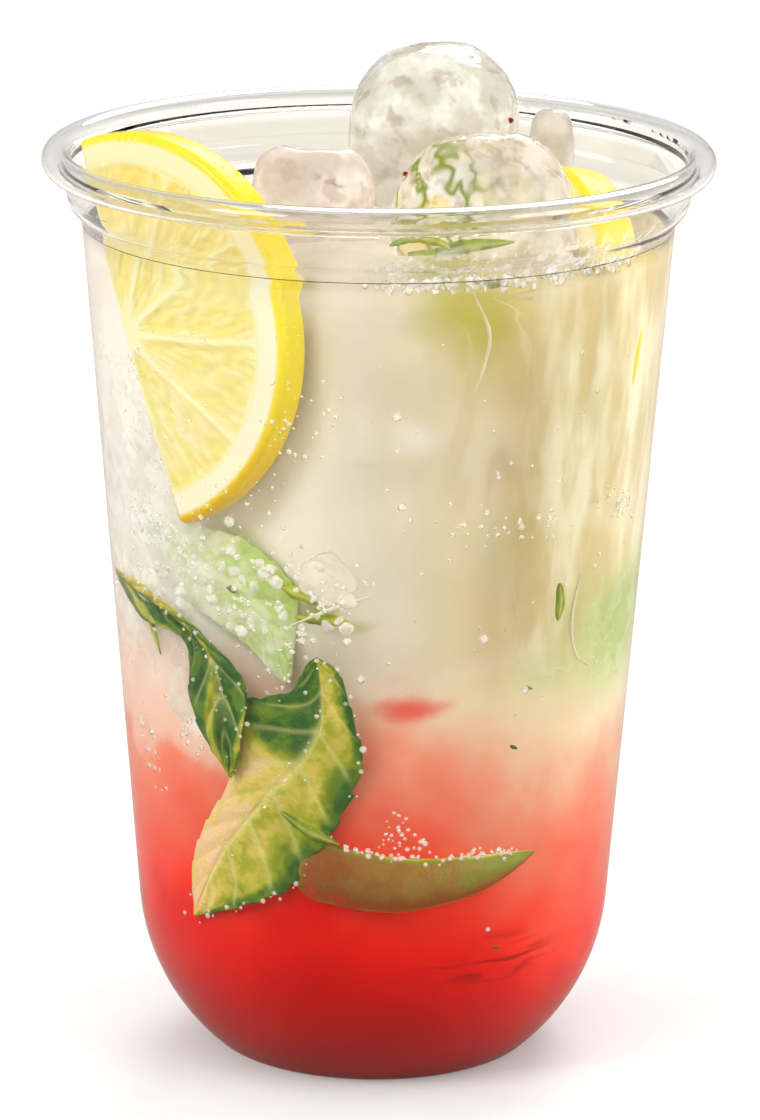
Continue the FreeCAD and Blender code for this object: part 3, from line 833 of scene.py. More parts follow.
def end_caps(rows: int, columns: int) -> list[tuple]:
    """One flat face at each end of a tube of so many rows and columns."""
    return [tuple(range(columns))[::-1], tuple(range((rows - 1) * columns, rows * columns))]


def full_turn(count: int) -> np.ndarray:
    """Evenly spaced angles all the way round."""
    return np.linspace(0.0, math.tau, count, endpoint=False)


def inward(points: np.ndarray) -> np.ndarray:
    """The level direction from each point to the cup's axis."""
    way = -points * np.array([1.0, 1.0, 0.0])
    return way / np.linalg.norm(way, axis=-1, keepdims=True)


def respaced(line: np.ndarray, count: int) -> np.ndarray:
    """A line's shape with evenly spaced points.

    Args:
        line: its points, one a row.
        count: how many to return.

    Returns:
        The new points.
    """
    run = np.concatenate([[0.0], np.cumsum(np.linalg.norm(np.diff(line, axis=0), axis=1))])
    steps = np.linspace(0.0, run[-1], count)
    return np.stack([np.interp(steps, run, line[:, axis]) for axis in range(line.shape[1])], axis=1)


def smooth_step(value: np.ndarray, low: float, high: float) -> np.ndarray:
    """A smooth climb from 0 at low to 1 at high."""
    share = np.clip((value - low) / (high - low), 0.0, 1.0)
    return share * share * (3.0 - 2.0 * share)


def along(points: Sequence[Sequence[float]], count: int) -> np.ndarray:
    """Points evenly spaced on a smooth line through the given ones.

    Args:
        points: the points that the line goes through.
        count: how many to return.

    Returns:
        The points, one a row.
    """
    knots = np.asarray(points, float)
    ends = np.vstack([2 * knots[0] - knots[1], knots, 2 * knots[-1] - knots[-2]])
    fine = []
    for a, b, c, d in zip(ends[:-3], ends[1:-2], ends[2:-1], ends[3:]):
        for t in np.linspace(0.0, 1.0, 24, endpoint=False):
            fine.append(0.5 * (2 * b + (c - a) * t + (2 * a - 5 * b + 4 * c - d) * t ** 2
                               + (3 * b - a - 3 * c + d) * t ** 3))
    return respaced(np.array(fine + [knots[-1]]), count)


def roughen(points: np.ndarray, size: float, seed: float) -> np.ndarray:
    """Smooth noise from -1 to 1 at each point, in waves of one size; the seed shifts it."""
    shift = Vector((seed, 2.7 * seed, -1.3 * seed))
    return np.array([noise.noise(Vector(p) / size + shift) for p in points])


def settle(piece: bpy.types.Object, slot: Slot, *nodes: str) -> bpy.types.Object:
    """Ride a finished piece on the body, hide the CAD nodes that it replaces and log how many triangles it
    has.

    Args:
        piece: the piece.
        slot: not used.
        nodes: the CAD nodes that it replaces.

    Returns:
        The piece.
    """
    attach(piece, BODY)
    if nodes:
        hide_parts(*nodes)
    triangles = sum(len(face.vertices) - 2 for face in piece.data.polygons)
    LOG.info("%s: %d triangles", piece.name, triangles)
    return piece


# ------------------------------------------------------------------------------ the cup
class InnerWall:
    """The inside of the cup, measured on the cup itself."""

    def __init__(self, cup: bpy.types.Object) -> None:
        """Measure the wall.

        Args:
            cup: the cup's node.
        """
        self.tree = BVHTree.FromObject(cup, bpy.context.evaluated_depsgraph_get())
        self.heights = np.arange(*MEASURED)
        self.radii = np.array([self.cast((0.0, 0.0, z), (0.0, -1.0, 0.0)) for z in self.heights])

    def cast(self, start: Point, way: Point) -> float:
        """How far the wall is from a point, in one direction."""
        hit = self.tree.ray_cast(Vector(start) * MM, Vector(way).normalized())
        return hit[3] / MM

    def radius(self, height: float | np.ndarray) -> float | np.ndarray:
        """The inner radius at a height."""
        return np.interp(height, self.heights, self.radii)

    def place(self, bearing: float, height: float, depth: float) -> np.ndarray:
        """A point inside the wall.

        Args:
            bearing: its direction from the axis in degrees, -90 at the front.
            height: its height.
            depth: how far it is in from the wall.

        Returns:
            The point.
        """
        reach = self.radius(height) - depth
        turn = math.radians(bearing)
        return np.array([reach * math.cos(turn), reach * math.sin(turn), height])

    def outline(self, reach_in: float, level: float) -> np.ndarray:
        """The cavity's half outline, from the middle of the floor up to the level.

        Args:
            reach_in: how far into the wall it goes.
            level: the height at which it stops.

        Returns:
            Radius and height of each point.
        """
        rows = []
        for angle in np.radians(np.linspace(-90.0, 75.0, 230)):
            way = (math.cos(angle), 0.0, math.sin(angle))
            far = self.cast((0.0, 0.0, EYE), way) + reach_in
            point = (max(far * way[0], 0.0), EYE + far * way[2])
            if point[1] >= level:
                break
            rows.append(point)
        rows.append((self.radius(level) + reach_in, level))
        return np.array(rows)


@dataclass
class Cup:
    """The clear cup: the CAD node with a clear plastic finish."""

    node: bpy.types.Object
    # The back of the wall above the drink takes a painted grey shade.
    finish: ClearFinish = ClearFinish(name="clear_plastic", index=1.45, roughness=0.02,
                                      tint=Tint(245, 244, 241), gleam=Tint(130, 130, 130),
                                      full_gleam_above=(115.0, 119.0), shaded_back=Tint(220, 215, 203))

    def build(self) -> bpy.types.Object:
        """Dress the node.

        Returns:
            The node.
        """
        material = self.finish.build()
        self.node.data.materials.clear()
        self.node.data.materials.append(material)
        LOG.info("cup dressed")
        return self.node


# ------------------------------------------------------------------------------ the drink
@dataclass
class Drink:
    """The clear part of the drink, from the floor of the cup to the level, cut round the ice."""

    wall: InnerWall
    reach_in: float = 0.15
    climb: float = 0.8
    climb_reach: float = 2.6
    sides: int = 192
    finish: ClearFinish = ClearFinish(name="drink", index=1.33, tint=Tint(254, 253, 249),
                                      gleam=Tint(90, 90, 90))

    def outline(self) -> np.ndarray:
        """The drink's half outline, with the edge climbing the wall.

        Returns:
            Radius and height of each point.
        """
        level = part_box("soda_layer")[1].z / MM
        side = self.wall.outline(self.reach_in, level)
        rim = side[-1, 0]
        dips = np.linspace(0.0, 1.0, 9)[1:]
        edge = [(rim - self.climb_reach * d, level - self.climb * (1.0 - (1.0 - d) ** 3)) for d in dips]
        flat = [(r, level - self.climb) for r in np.linspace(rim - self.climb_reach, 0.0, 26)[1:]]
        return np.vstack([side, edge, flat])

    def build(self, ice: Sequence[bpy.types.Object]) -> bpy.types.Object:
        """Make the drink and cut it round the ice.

        Args:
            ice: the pieces that break the surface.

        Returns:
            The piece.
        """
        outline = self.outline()
        turns = full_turn(self.sides)
        rings = [np.stack([r * np.cos(turns), r * np.sin(turns), np.full_like(turns, z)], axis=1)
                 for r, z in outline[1:-1]]
        points = np.vstack(rings + [[[0.0, 0.0, outline[0, 1]]], [[0.0, 0.0, outline[-1, 1]]]])
        faces = grid_faces(len(rings), self.sides, closed=True) + end_fans(len(rings), self.sides)
        piece = make_piece("drink", points, faces, self.finish.build())
        for block in ice:
            self.cut(piece, block)
        piece.data.shade_smooth()
        return settle(piece, Slot.SODA, "syrup_layer", "soda_layer")

    def cut(self, piece: bpy.types.Object, block: bpy.types.Object, overlap: float = 0.12) -> None:
        """Cut one piece of ice out of the drink, a little small so that the two overlap.

        Args:
            piece: the drink.
            block: the ice.
            overlap: how far the ice reaches into the drink.
        """
        tool = add_object("ice_cutter", block.data.copy())
        for vertex, normal in zip(tool.data.vertices, [v.normal.copy() for v in block.data.vertices]):
            vertex.co -= normal * overlap * MM
        cutter = piece.modifiers.new("cut", "BOOLEAN")
        cutter.operation = "DIFFERENCE"
        cutter.solver = "EXACT"
        cutter.object = tool
        mesh = applied(piece)
        piece.modifiers.clear()
        piece.data = mesh
        bpy.data.objects.remove(tool)


@dataclass
class SlicePlane:
    """The inner side of a slice, which the cloudy middle keeps clear of."""

    middle: np.ndarray
    outward: np.ndarray
    radius: float


@dataclass
class CloudyHeart:
    """The cloudy middle of the drink: melt water, juice and syrup, too milky to see through."""

    wall: InnerWall
    slices: Sequence[SlicePlane]
    top: float = 118.6
    crown: float = 9.0
    foot_inset: float = 0.4
    low_inset: float = 3.7
    high_share: float = 0.235
    leaves_foot: tuple[float, float] = (12.0, 23.0)
    leaves_wall: tuple[float, float] = (44.0, 70.0)
    swell: float = 0.6
    clear_of: float = 1.2
    rows: int = 170
    sides: int = 200
    seed: float = 4.1

    def outline(self) -> np.ndarray:
        """Its half outline before it makes room for the slices.

        Returns:
            Radius and height of each point, from the foot to the top.
        """
        cavity = self.wall.outline(0.0, self.top)
        eye = np.array([0.0, EYE])
        away = cavity - eye
        far = np.linalg.norm(away, axis=1)
        climb = smooth_step(cavity[:, 1], *self.leaves_wall)
        rise = smooth_step(cavity[:, 1], *self.leaves_foot)
        low = self.foot_inset + (self.low_inset - self.foot_inset) * rise
        inset = low * (1 - climb) + self.high_share * cavity[:, 0] * climb
        side = eye + away * ((far - inset) / far)[:, None]
        side = side[side[:, 1] < self.top - self.crown]
        rim, brow = side[-1]
        lean = np.linspace(0.0, math.pi / 2, 26)[1:]
        dome = np.stack([rim * np.cos(lean) ** 0.75, brow + (self.top - brow) * np.sin(lean)], axis=1)
        line = np.vstack([side, dome])
        line[0, 0] = line[-1, 0] = 0.05
        return respaced(line, self.rows)

    def room(self, reach: np.ndarray, heights: np.ndarray, way: np.ndarray) -> np.ndarray:
        """Pull the sides in where the slices stand.

        Args:
            reach: the radius of each point, a row a height.
            heights: the rows' heights.
            way: the direction of each column.

        Returns:
            The new radii.
        """
        limit = reach.copy()
        for plane in self.slices:
            for row, height in enumerate(heights):
                axis_point = np.array([0.0, 0.0, height])
                slope = way @ plane.outward
                gap = (plane.middle - axis_point) @ plane.outward - self.clear_of
                room = np.where(slope > 0.05, gap / np.maximum(slope, 0.05), 1e3)
                point = way * np.clip(room, 0, 60)[:, None] + axis_point
                far = np.linalg.norm(point - plane.middle, axis=1)
                ease = 1.0 - smooth_step(far, plane.radius + 1.0, plane.radius + 16.0)
                pull = np.maximum(reach[row] - np.maximum(room, 4.0), 0.0)
                limit[row] = np.minimum(limit[row], reach[row] - ease * pull)
        soft = limit.copy()
        for _ in range(26):
            soft = (np.roll(soft, 1, 1) + np.roll(soft, -1, 1) + 2 * soft) / 4
            soft[1:-1] = (soft[:-2] + soft[2:] + 2 * soft[1:-1]) / 4
            soft = np.minimum(soft, limit)
        return soft

    def build(self, finish: HeartFinish) -> bpy.types.Object:
        """Make the piece.

        Args:
            finish: its finish.

        Returns:
            The piece.
        """
        outline = self.outline()
        heights = outline[:, 1]
        turns = full_turn(self.sides)
        way = np.stack([np.cos(turns), np.sin(turns), np.zeros_like(turns)], axis=1)
        reach = self.room(np.repeat(outline[:, :1], self.sides, axis=1), heights, way)
        points = np.vstack([np.stack([r * way[:, 0], r * way[:, 1], np.full(self.sides, z)], axis=1)
                            for r, z in zip(reach, heights)])
        wave = (roughen(points, 9.0, self.seed) - 0.6) * smooth_step(reach.ravel(), 1.0, 12.0)
        points[:, :2] *= (1.0 + self.swell * wave / np.maximum(reach.ravel(), 6.0))[:, None]
        faces = grid_faces(self.rows, self.sides, closed=True) + end_caps(self.rows, self.sides)
        return settle(make_piece("cloudy_heart", points, faces, finish.build()), Slot.SYRUP)


@dataclass(frozen=True)
class HazeFinish(Finish):
    """A thin cloud in the drink that lets what is behind it show through."""

    name: str = "haze"
    roughness: float = 0.8
    gloss: float = 0.0
    tint: Tint = Tint(250, 238, 200)
    pale: Tint = Tint(254, 252, 244)
    cover: float = 0.7
    least: float = 0.65
    grain: float = 5.0
    drawn_out: float = 1.0

    def dress(self, bench: Bench, shader: bpy.types.Node) -> None:
        """Mottle the cloud and thin it where its grain and its stored body say.

        Args:
            bench: the material's bench.
            shader: its shader.
        """
        place = bench.vector("MULTIPLY", bench.place(), (1.0, 1.0, 1.0 / self.drawn_out))
        mask = bench.mottle(place, self.grain, 0.38, 0.66)
        bench.feed(shader.inputs["Base Color"], bench.blend(mask, self.tint, self.pale))
        thin = bench.remap(mask, 0.0, 1.0, self.least * self.cover, self.cover)
        bench.feed(shader.inputs["Alpha"], bench.sum("MULTIPLY", thin, bench.stored("body"), clamp=True))


@dataclass
class HazeVeil:
    """A veil of melt water and juice that hangs in the drink beside the wall."""

    name: str
    bearings: tuple[float, float]
    heights: tuple[float, float]
    depth: float
    finish: HazeFinish = HazeFinish()
    fades: tuple[float, float, float] = (0.28, 0.28, 0.28)
    slack: float = 0.9
    rows: int = 60
    columns: int = 60
    seed: float = 3.0

    def build(self, wall: InnerWall) -> bpy.types.Object:
        """Make the veil.

        Args:
            wall: the cup's inside.

        Returns:
            The piece.
        """
        across = np.linspace(0.0, 1.0, self.columns)
        rise = np.linspace(0.0, 1.0, self.rows)
        (start, end), (low, high) = self.bearings, self.heights
        points = np.array([wall.place(start + (end - start) * a, low + (high - low) * r, self.depth)
                           for r in rise for a in across])
        wave = roughen(points, 8.0, self.seed)
        points[:, :2] *= (1.0 + self.slack * wave / 38.0)[:, None]
        piece = make_piece(self.name, points, grid_faces(self.rows, self.columns), self.finish.build())
        beside, below, above = self.fades
        fade = smooth_step(np.minimum(across, 1 - across), 0.0, beside)[None, :]
        fade = fade * (smooth_step(rise, 0.0, below) * smooth_step(1 - rise, 0.0, above))[:, None]
        store(piece, "body", fade.ravel())
        return settle(piece, Slot.SODA)


# ------------------------------------------------------------------------------ fruit and ice
@dataclass
class LemonSlice:
    """A slice of lemon, stood against the wall as its CAD node is."""

    name: str
    cut: Cut
    bearing: float
    look_up: float
    turned: float
    segments: int = 10
    rind: float = 4.4
    zest: float = 1.15
    skin: float = 0.7
    heart: float = 2.4
    round: float = 1.2
    sunk: float = 0.3
    rings: int = 84
    half_rows: int = 190
    whole_rows: int = 300
    finish: LemonFinish = LemonFinish()

    def frame(self) -> np.ndarray:
        """The slice's own axes: its thickness runs along the third one.

        Returns:
            The axes as the columns of a matrix.
        """
        stand = Matrix.Rotation(math.radians(120.0), 3, Vector((1.0, 1.0, 1.0)))
        turn = (Matrix.Rotation(math.radians(self.bearing), 3, "Z")
                @ Matrix.Rotation(math.radians(-self.look_up), 3, "Y") @ stand
                @ Matrix.Rotation(math.radians(self.turned), 3, "Z"))
        return np.array(turn)

    def measure(self, node: bpy.types.Object) -> None:
        """Read the slice's size and place from its node.

        Args:
            node: the CAD node.
        """
        axes = self.frame()
        own = np.array([v.co for v in node.data.vertices]) / MM @ axes
        low, high = own.min(axis=0), own.max(axis=0)
        self.thick = high[2] - low[2]
        self.radius = (high[1] - low[1]) / 2.0
        across = low[0] if self.cut is Cut.HALF else (low[0] + high[0]) / 2.0
        self.origin = axes @ np.array([across, (low[1] + high[1]) / 2.0, (low[2] + high[2]) / 2.0])
        self.axes = axes

    def inner_plane(self) -> SlicePlane:
        """The side that faces the middle of the drink.

        Returns:
            The plane.
        """
        normal = self.axes[:, 2]
        outward = normal if normal @ np.array([self.origin[0], self.origin[1], 0.0]) > 0 else -normal
        middle = self.origin - outward * self.thick / 2.0
        return SlicePlane(middle, outward, self.radius)

    def outline(self) -> np.ndarray:
        """Half the slice's section: in along one face, round the peel and back along the other.

        Returns:
            Radius and height of each point.
        """
        half = self.thick / 2.0
        run = np.linspace(0.0, self.radius - self.round, self.rings)
        bend = np.radians(np.linspace(90.0, 0.0, 8))[1:]
        over = np.stack([self.radius - self.round + self.round * np.cos(bend),
                         half - self.round + self.round * np.sin(bend)], axis=1)
        front = np.vstack([np.stack([run, np.full_like(run, half)], axis=1), over])
        back = front[::-1] * np.array([1.0, -1.0])
        return np.vstack([front, back])

    def zones(self, turn: np.ndarray, radius: np.ndarray,
              height: np.ndarray) -> tuple[np.ndarray, dict[str, np.ndarray]]:
        """Tell the slice's zones apart.

        Args:
            turn: each point's angle round the slice.
            radius: its distance from the middle.
            height: its place through the thickness.

        Returns:
            How deep each point lies inside its segment, and its share of each zone.
        """
        wide = math.tau / self.segments
        part = np.mod(turn + math.pi / 2, wide)
        beside = radius * np.sin(np.minimum(part, wide - part))
        inner = self.radius - self.rind
        wobble = 0.35 * np.sin(5 * turn + 1.0) + 0.25 * np.sin(11 * turn)
        gaps = np.stack([inner + wobble - radius, beside - self.skin / 2, radius - self.heart])
        gap = -np.log(np.exp(-1.6 * gaps).sum(axis=0)) / 1.6
        pulp = smooth_step(gap, -0.25, 0.35) * (np.abs(height) > self.thick / 2 - 0.01)
        zest = smooth_step(radius, self.radius - self.zest - 0.3, self.radius - self.zest + 0.25)
        return gap, {"pulp": pulp, "skin": (1.0 - pulp) * (radius < inner - 0.2),
                     "pith": smooth_step(radius, inner - 0.6, inner + 0.6) * (1.0 - zest), "zest": zest}

    def sacs(self, turn: np.ndarray, radius: np.ndarray, height: np.ndarray) -> np.ndarray:
        """Where each point lies among the juice sacs, which are drawn out along the segments.

        Args:
            turn: each point's angle round the slice.
            radius: its distance from the middle.
            height: its place through the thickness.

        Returns:
            One row a point, in sacs.
        """
        wide = math.tau / self.segments
        part = np.mod(turn + math.pi / 2, wide)
        number = np.floor((turn + math.pi / 2) / wide)
        return np.stack([(part - wide / 2) * (radius + 4.0) / 1.5, radius / 4.2 + number * 7.0,
                         np.sign(height) * 5.0 + number * 3.0], axis=2).reshape(-1, 3)

    def build(self, node: bpy.types.Object) -> bpy.types.Object:
        """Make the slice.

        Args:
            node: the CAD node that it stands for.

        Returns:
            The piece.
        """
        self.measure(node)
        half_cut = self.cut is Cut.HALF
        outline = self.outline()
        count = self.half_rows if half_cut else self.whole_rows
        end = math.pi / 2 if half_cut else math.pi
        turns = np.linspace(-end, end, count, endpoint=half_cut)
        radius, height = (np.tile(outline[:, axis], (count, 1)) for axis in (0, 1))
        turn = np.repeat(turns[:, None], len(outline), axis=1)
        gap, zones = self.zones(turn, radius, height)
        flat = np.stack([radius * np.cos(turn), radius * np.sin(turn), height], axis=2).reshape(-1, 3)
        lumps = roughen(flat, 1.6, 3.0).reshape(radius.shape)
        drop = self.sunk * smooth_step(gap, -0.1, 1.2) * (0.75 + 0.9 * lumps)
        flat[:, 2] -= (np.sign(height) * zones["pulp"] * np.clip(drop, 0.0, 1.2)).ravel()
        columns = len(outline)
        faces = grid_faces(count, columns)
        last = (count - 1) * columns
        if half_cut:
            faces += [face[::-1] for face in end_caps(count, columns)]
        else:
            faces += [(last + k, last + k + 1, k + 1, k) for k in range(columns - 1)]
        points = flat @ self.axes.T + self.origin
        piece = make_piece(self.name + "_slice", points, faces, self.finish.build())
        store(piece, "sac_place", self.sacs(turn, radius, height))
        for name, values in zones.items():
            store(piece, name + "_share", values.ravel())
        return settle(piece, Slot.LEMON, self.name)


@dataclass
class IceBlock:
    """A melting piece of ice, made from its CAD node: worn, dimpled and wet."""

    name: str
    seed: float
    peak: float = 0.0
    drops: tuple[float, float] = (2.0, 2.0)
    wear: float = 0.9
    grain: float = 7.0
    voxel: float = 0.7
    smoothing: int = 24
    finish: IceFinish = IceFinish()

    def build(self, node: bpy.types.Object) -> bpy.types.Object:
        """Make the ice.

        Args:
            node: the CAD node that it stands for.

        Returns:
            The piece.
        """
        rough = add_object("rough_block", node.data.copy())
        remesh = rough.modifiers.new("melt", "REMESH")
        remesh.mode = "VOXEL"
        remesh.voxel_size = self.voxel * MM
        soften = rough.modifiers.new("soften", "SMOOTH")
        soften.iterations = self.smoothing
        mesh = applied(rough)
        bpy.data.objects.remove(rough)
        points = np.array([v.co for v in mesh.vertices]) / MM
        normals = np.array([v.normal for v in mesh.vertices])
        broad = 0.7 * roughen(points, self.grain, self.seed)
        worn = broad + 0.28 * roughen(points, self.grain / 2.1, self.seed)
        points -= normals * (self.wear * np.clip(0.55 + worn, 0.1, 1.6))[:, None]
        points = self.melt_down(points)
        faces = [tuple(face.vertices) for face in mesh.polygons]
        piece = make_piece(self.name + "_worn", points, faces, self.finish.build())
        return settle(piece, Slot.ICE, self.name)

    def melt_down(self, points: np.ndarray) -> np.ndarray:
        """Melt the shoulders away, so that the top is a dome.

        Args:
            points: the block's points.

        Returns:
            The new points.
        """
        low, high = points.min(axis=0), points.max(axis=0)
        share = (2 * points - low - high) / (high - low)
        across = share[:, 0] - self.peak
        drop = np.where(across < 0, self.drops[0], self.drops[1]) * np.abs(across) ** 2.2
        drop = drop + 1.5 * np.abs(share[:, 1]) ** 2.5
        shaped = points.copy()
        shaped[:, 2] -= drop * smooth_step(share[:, 2], -0.6, 0.9)
        return shaped


@dataclass
class MintLeaf:
    """A mint leaf sunk beside the wall, given by its midrib and its two edges."""

    name: str
    rib: Edge
    left: Edge
    right: Edge
    depths: tuple[float, float, float]
    tone: Callable[[np.ndarray, np.ndarray], np.ndarray]
    teeth: int = 13
    tooth: float = 0.07
    veins: float = 8.0
    bulge: float = 0.7
    thick: float = 0.3
    rows: int = 130
    columns: int = 49
    seed: float = 1.0
    finish: LeafFinish = LeafFinish()

    def line(self, wall: InnerWall, edge: Edge, depth: float) -> np.ndarray:
        """A smooth line beside the wall and so far in, through the edge's bearings and heights."""
        return along([wall.place(bearing, height, depth) for bearing, height in edge], self.rows)

    def build(self, wall: InnerWall) -> bpy.types.Object:
        """Make the leaf.

        Args:
            wall: the cup's inside.

        Returns:
            The piece.
        """
        left, rib, right = (self.line(wall, edge, depth)
                            for edge, depth in zip((self.left, self.rib, self.right), self.depths))
        down = np.linspace(0.0, 1.0, self.rows)[:, None]
        side = np.linspace(-1.0, 1.0, self.columns)[None, :]
        saw = np.mod(down * self.teeth, 1.0)
        reach = 1.0 + self.tooth * (0.5 - saw) * np.abs(side) ** 4
        share = (np.abs(side) * reach)[:, :, None]
        edge = np.where(side[:, :, None] < 0, left[:, None, :], right[:, None, :])
        points = rib[:, None, :] + share * (edge - rib[:, None, :])
        course = np.mod(down * self.veins - 1.3 * np.abs(side) + 0.3, 1.0)
        off_vein = np.minimum(course, 1.0 - course)
        vein = np.exp(-(off_vein / 0.07) ** 2) * smooth_step(1.0 - np.abs(side), 0.0, 0.3)
        midrib = np.exp(-(side / 0.06) ** 2) * np.ones_like(down)
        puff = np.sin(math.pi * np.clip(off_vein * 2, 0, 1) / 2) * np.sin(math.pi * np.abs(side)) ** 0.7
        wave = roughen(points.reshape(-1, 3), 7.0, self.seed).reshape(self.rows, self.columns)
        lift = self.bulge * (0.45 * puff + 0.8 * wave * np.abs(side) - 0.35 * midrib)
        points = points - inward(points) * lift[:, :, None]
        faces = grid_faces(self.rows, self.columns)
        flat = points.reshape(-1, 3)
        piece = make_piece(self.name, flat, faces, self.finish.build())
        store(piece, "vein", np.clip(vein * 0.7 + midrib, 0.0, 1.0).ravel())
        store(piece, "tone", self.tone(down + 0 * side, side + 0 * down).ravel())
        shell = piece.modifiers.new("leaf", "SOLIDIFY")
        shell.thickness = self.thick * MM
        shell.offset = 0.0
        solid = applied(piece)
        piece.modifiers.clear()
        piece.data = solid
        piece.data.shade_smooth()
        return settle(piece, Slot.SODA)


@dataclass
class LimeWedge:
    """A wedge of lime lying across the front, peel outwards and its cut side up."""

    top: Edge = ((-111.0, 35.0), (-104.0, 38.5), (-97.0, 38.0), (-92.0, 37.5), (-83.0, 36.7),
                 (-73.0, 36.4), (-62.5, 36.2), (-54.0, 36.0), (-46.0, 35.4))
    bottom: Edge = ((-111.0, 34.0), (-107.0, 30.6), (-100.0, 29.6), (-91.0, 28.8), (-83.0, 28.6),
                    (-73.0, 29.3), (-62.0, 30.6), (-53.5, 32.6), (-46.0, 35.0))
    depth: float = 3.0
    belly: float = 1.3
    deep: float = 8.0
    rows: int = 150
    columns: int = 56
    finish: LeafFinish = LeafFinish(
        name="lime_peel",
        tones=(Tint(206, 52, 20), Tint(146, 84, 12), Tint(158, 116, 40), Tint(134, 146, 36),
               Tint(176, 196, 56), Tint(226, 230, 140)),
        vein_share=0.0, mottle_size=2.6, mottle_share=0.05)

    def build(self, wall: InnerWall) -> bpy.types.Object:
        """Make the wedge.

        Args:
            wall: the cup's inside.

        Returns:
            The piece.
        """
        upper, lower = (along([wall.place(b, z, self.depth) for b, z in edge], self.rows)
                        for edge in (self.top, self.bottom))
        down = np.linspace(0.0, 1.0, self.rows)
        fat = np.sin(math.pi * down) ** 0.6
        middle = (upper + lower) / 2
        way = inward(middle)
        rim = middle + way * (self.deep * fat)[:, None] + np.array([0.0, 0.0, 1.0]) * fat[:, None]
        points, tone, pale = [], [], []
        for step in range(self.columns):
            share = step / self.columns
            if share < 0.5:
                t = share * 2
                line = upper + (lower - upper) * t
                line = line - way * (self.belly * math.sin(math.pi * t) * fat)[:, None]
                edge = math.exp(-(t / 0.06) ** 2)
                melt = 1.0 - 0.8 * max(0.0, (t - 0.6) / 0.4) ** 1.5
                body = 0.2 + 0.2 * smooth_step(down, 0.15, 0.5) + 0.18 * smooth_step(down, 0.55, 0.8)
                tone.append((body + 0.4 * smooth_step(1 - down, 0.88, 0.97)) * melt + 0.42 * edge)
            elif share < 0.75:
                t = (share - 0.5) * 4
                line = lower + (rim - lower) * t
                tone.append(np.full(self.rows, 0.8))
            else:
                t = (share - 0.75) * 4
                line = rim + (upper - rim) * t
                tone.append(np.full(self.rows, 0.95))
            points.append(line)
        flat = np.stack(points, axis=1).reshape(-1, 3)
        faces = grid_faces(self.rows, self.columns, closed=True) + end_caps(self.rows, self.columns)
        piece = make_piece("lime_wedge", flat, faces, self.finish.build())
        store(piece, "tone", np.clip(np.stack(tone, axis=1), 0.0, 1.0).ravel())
        store(piece, "vein", np.zeros(len(flat)))
        return settle(piece, Slot.LEMON)


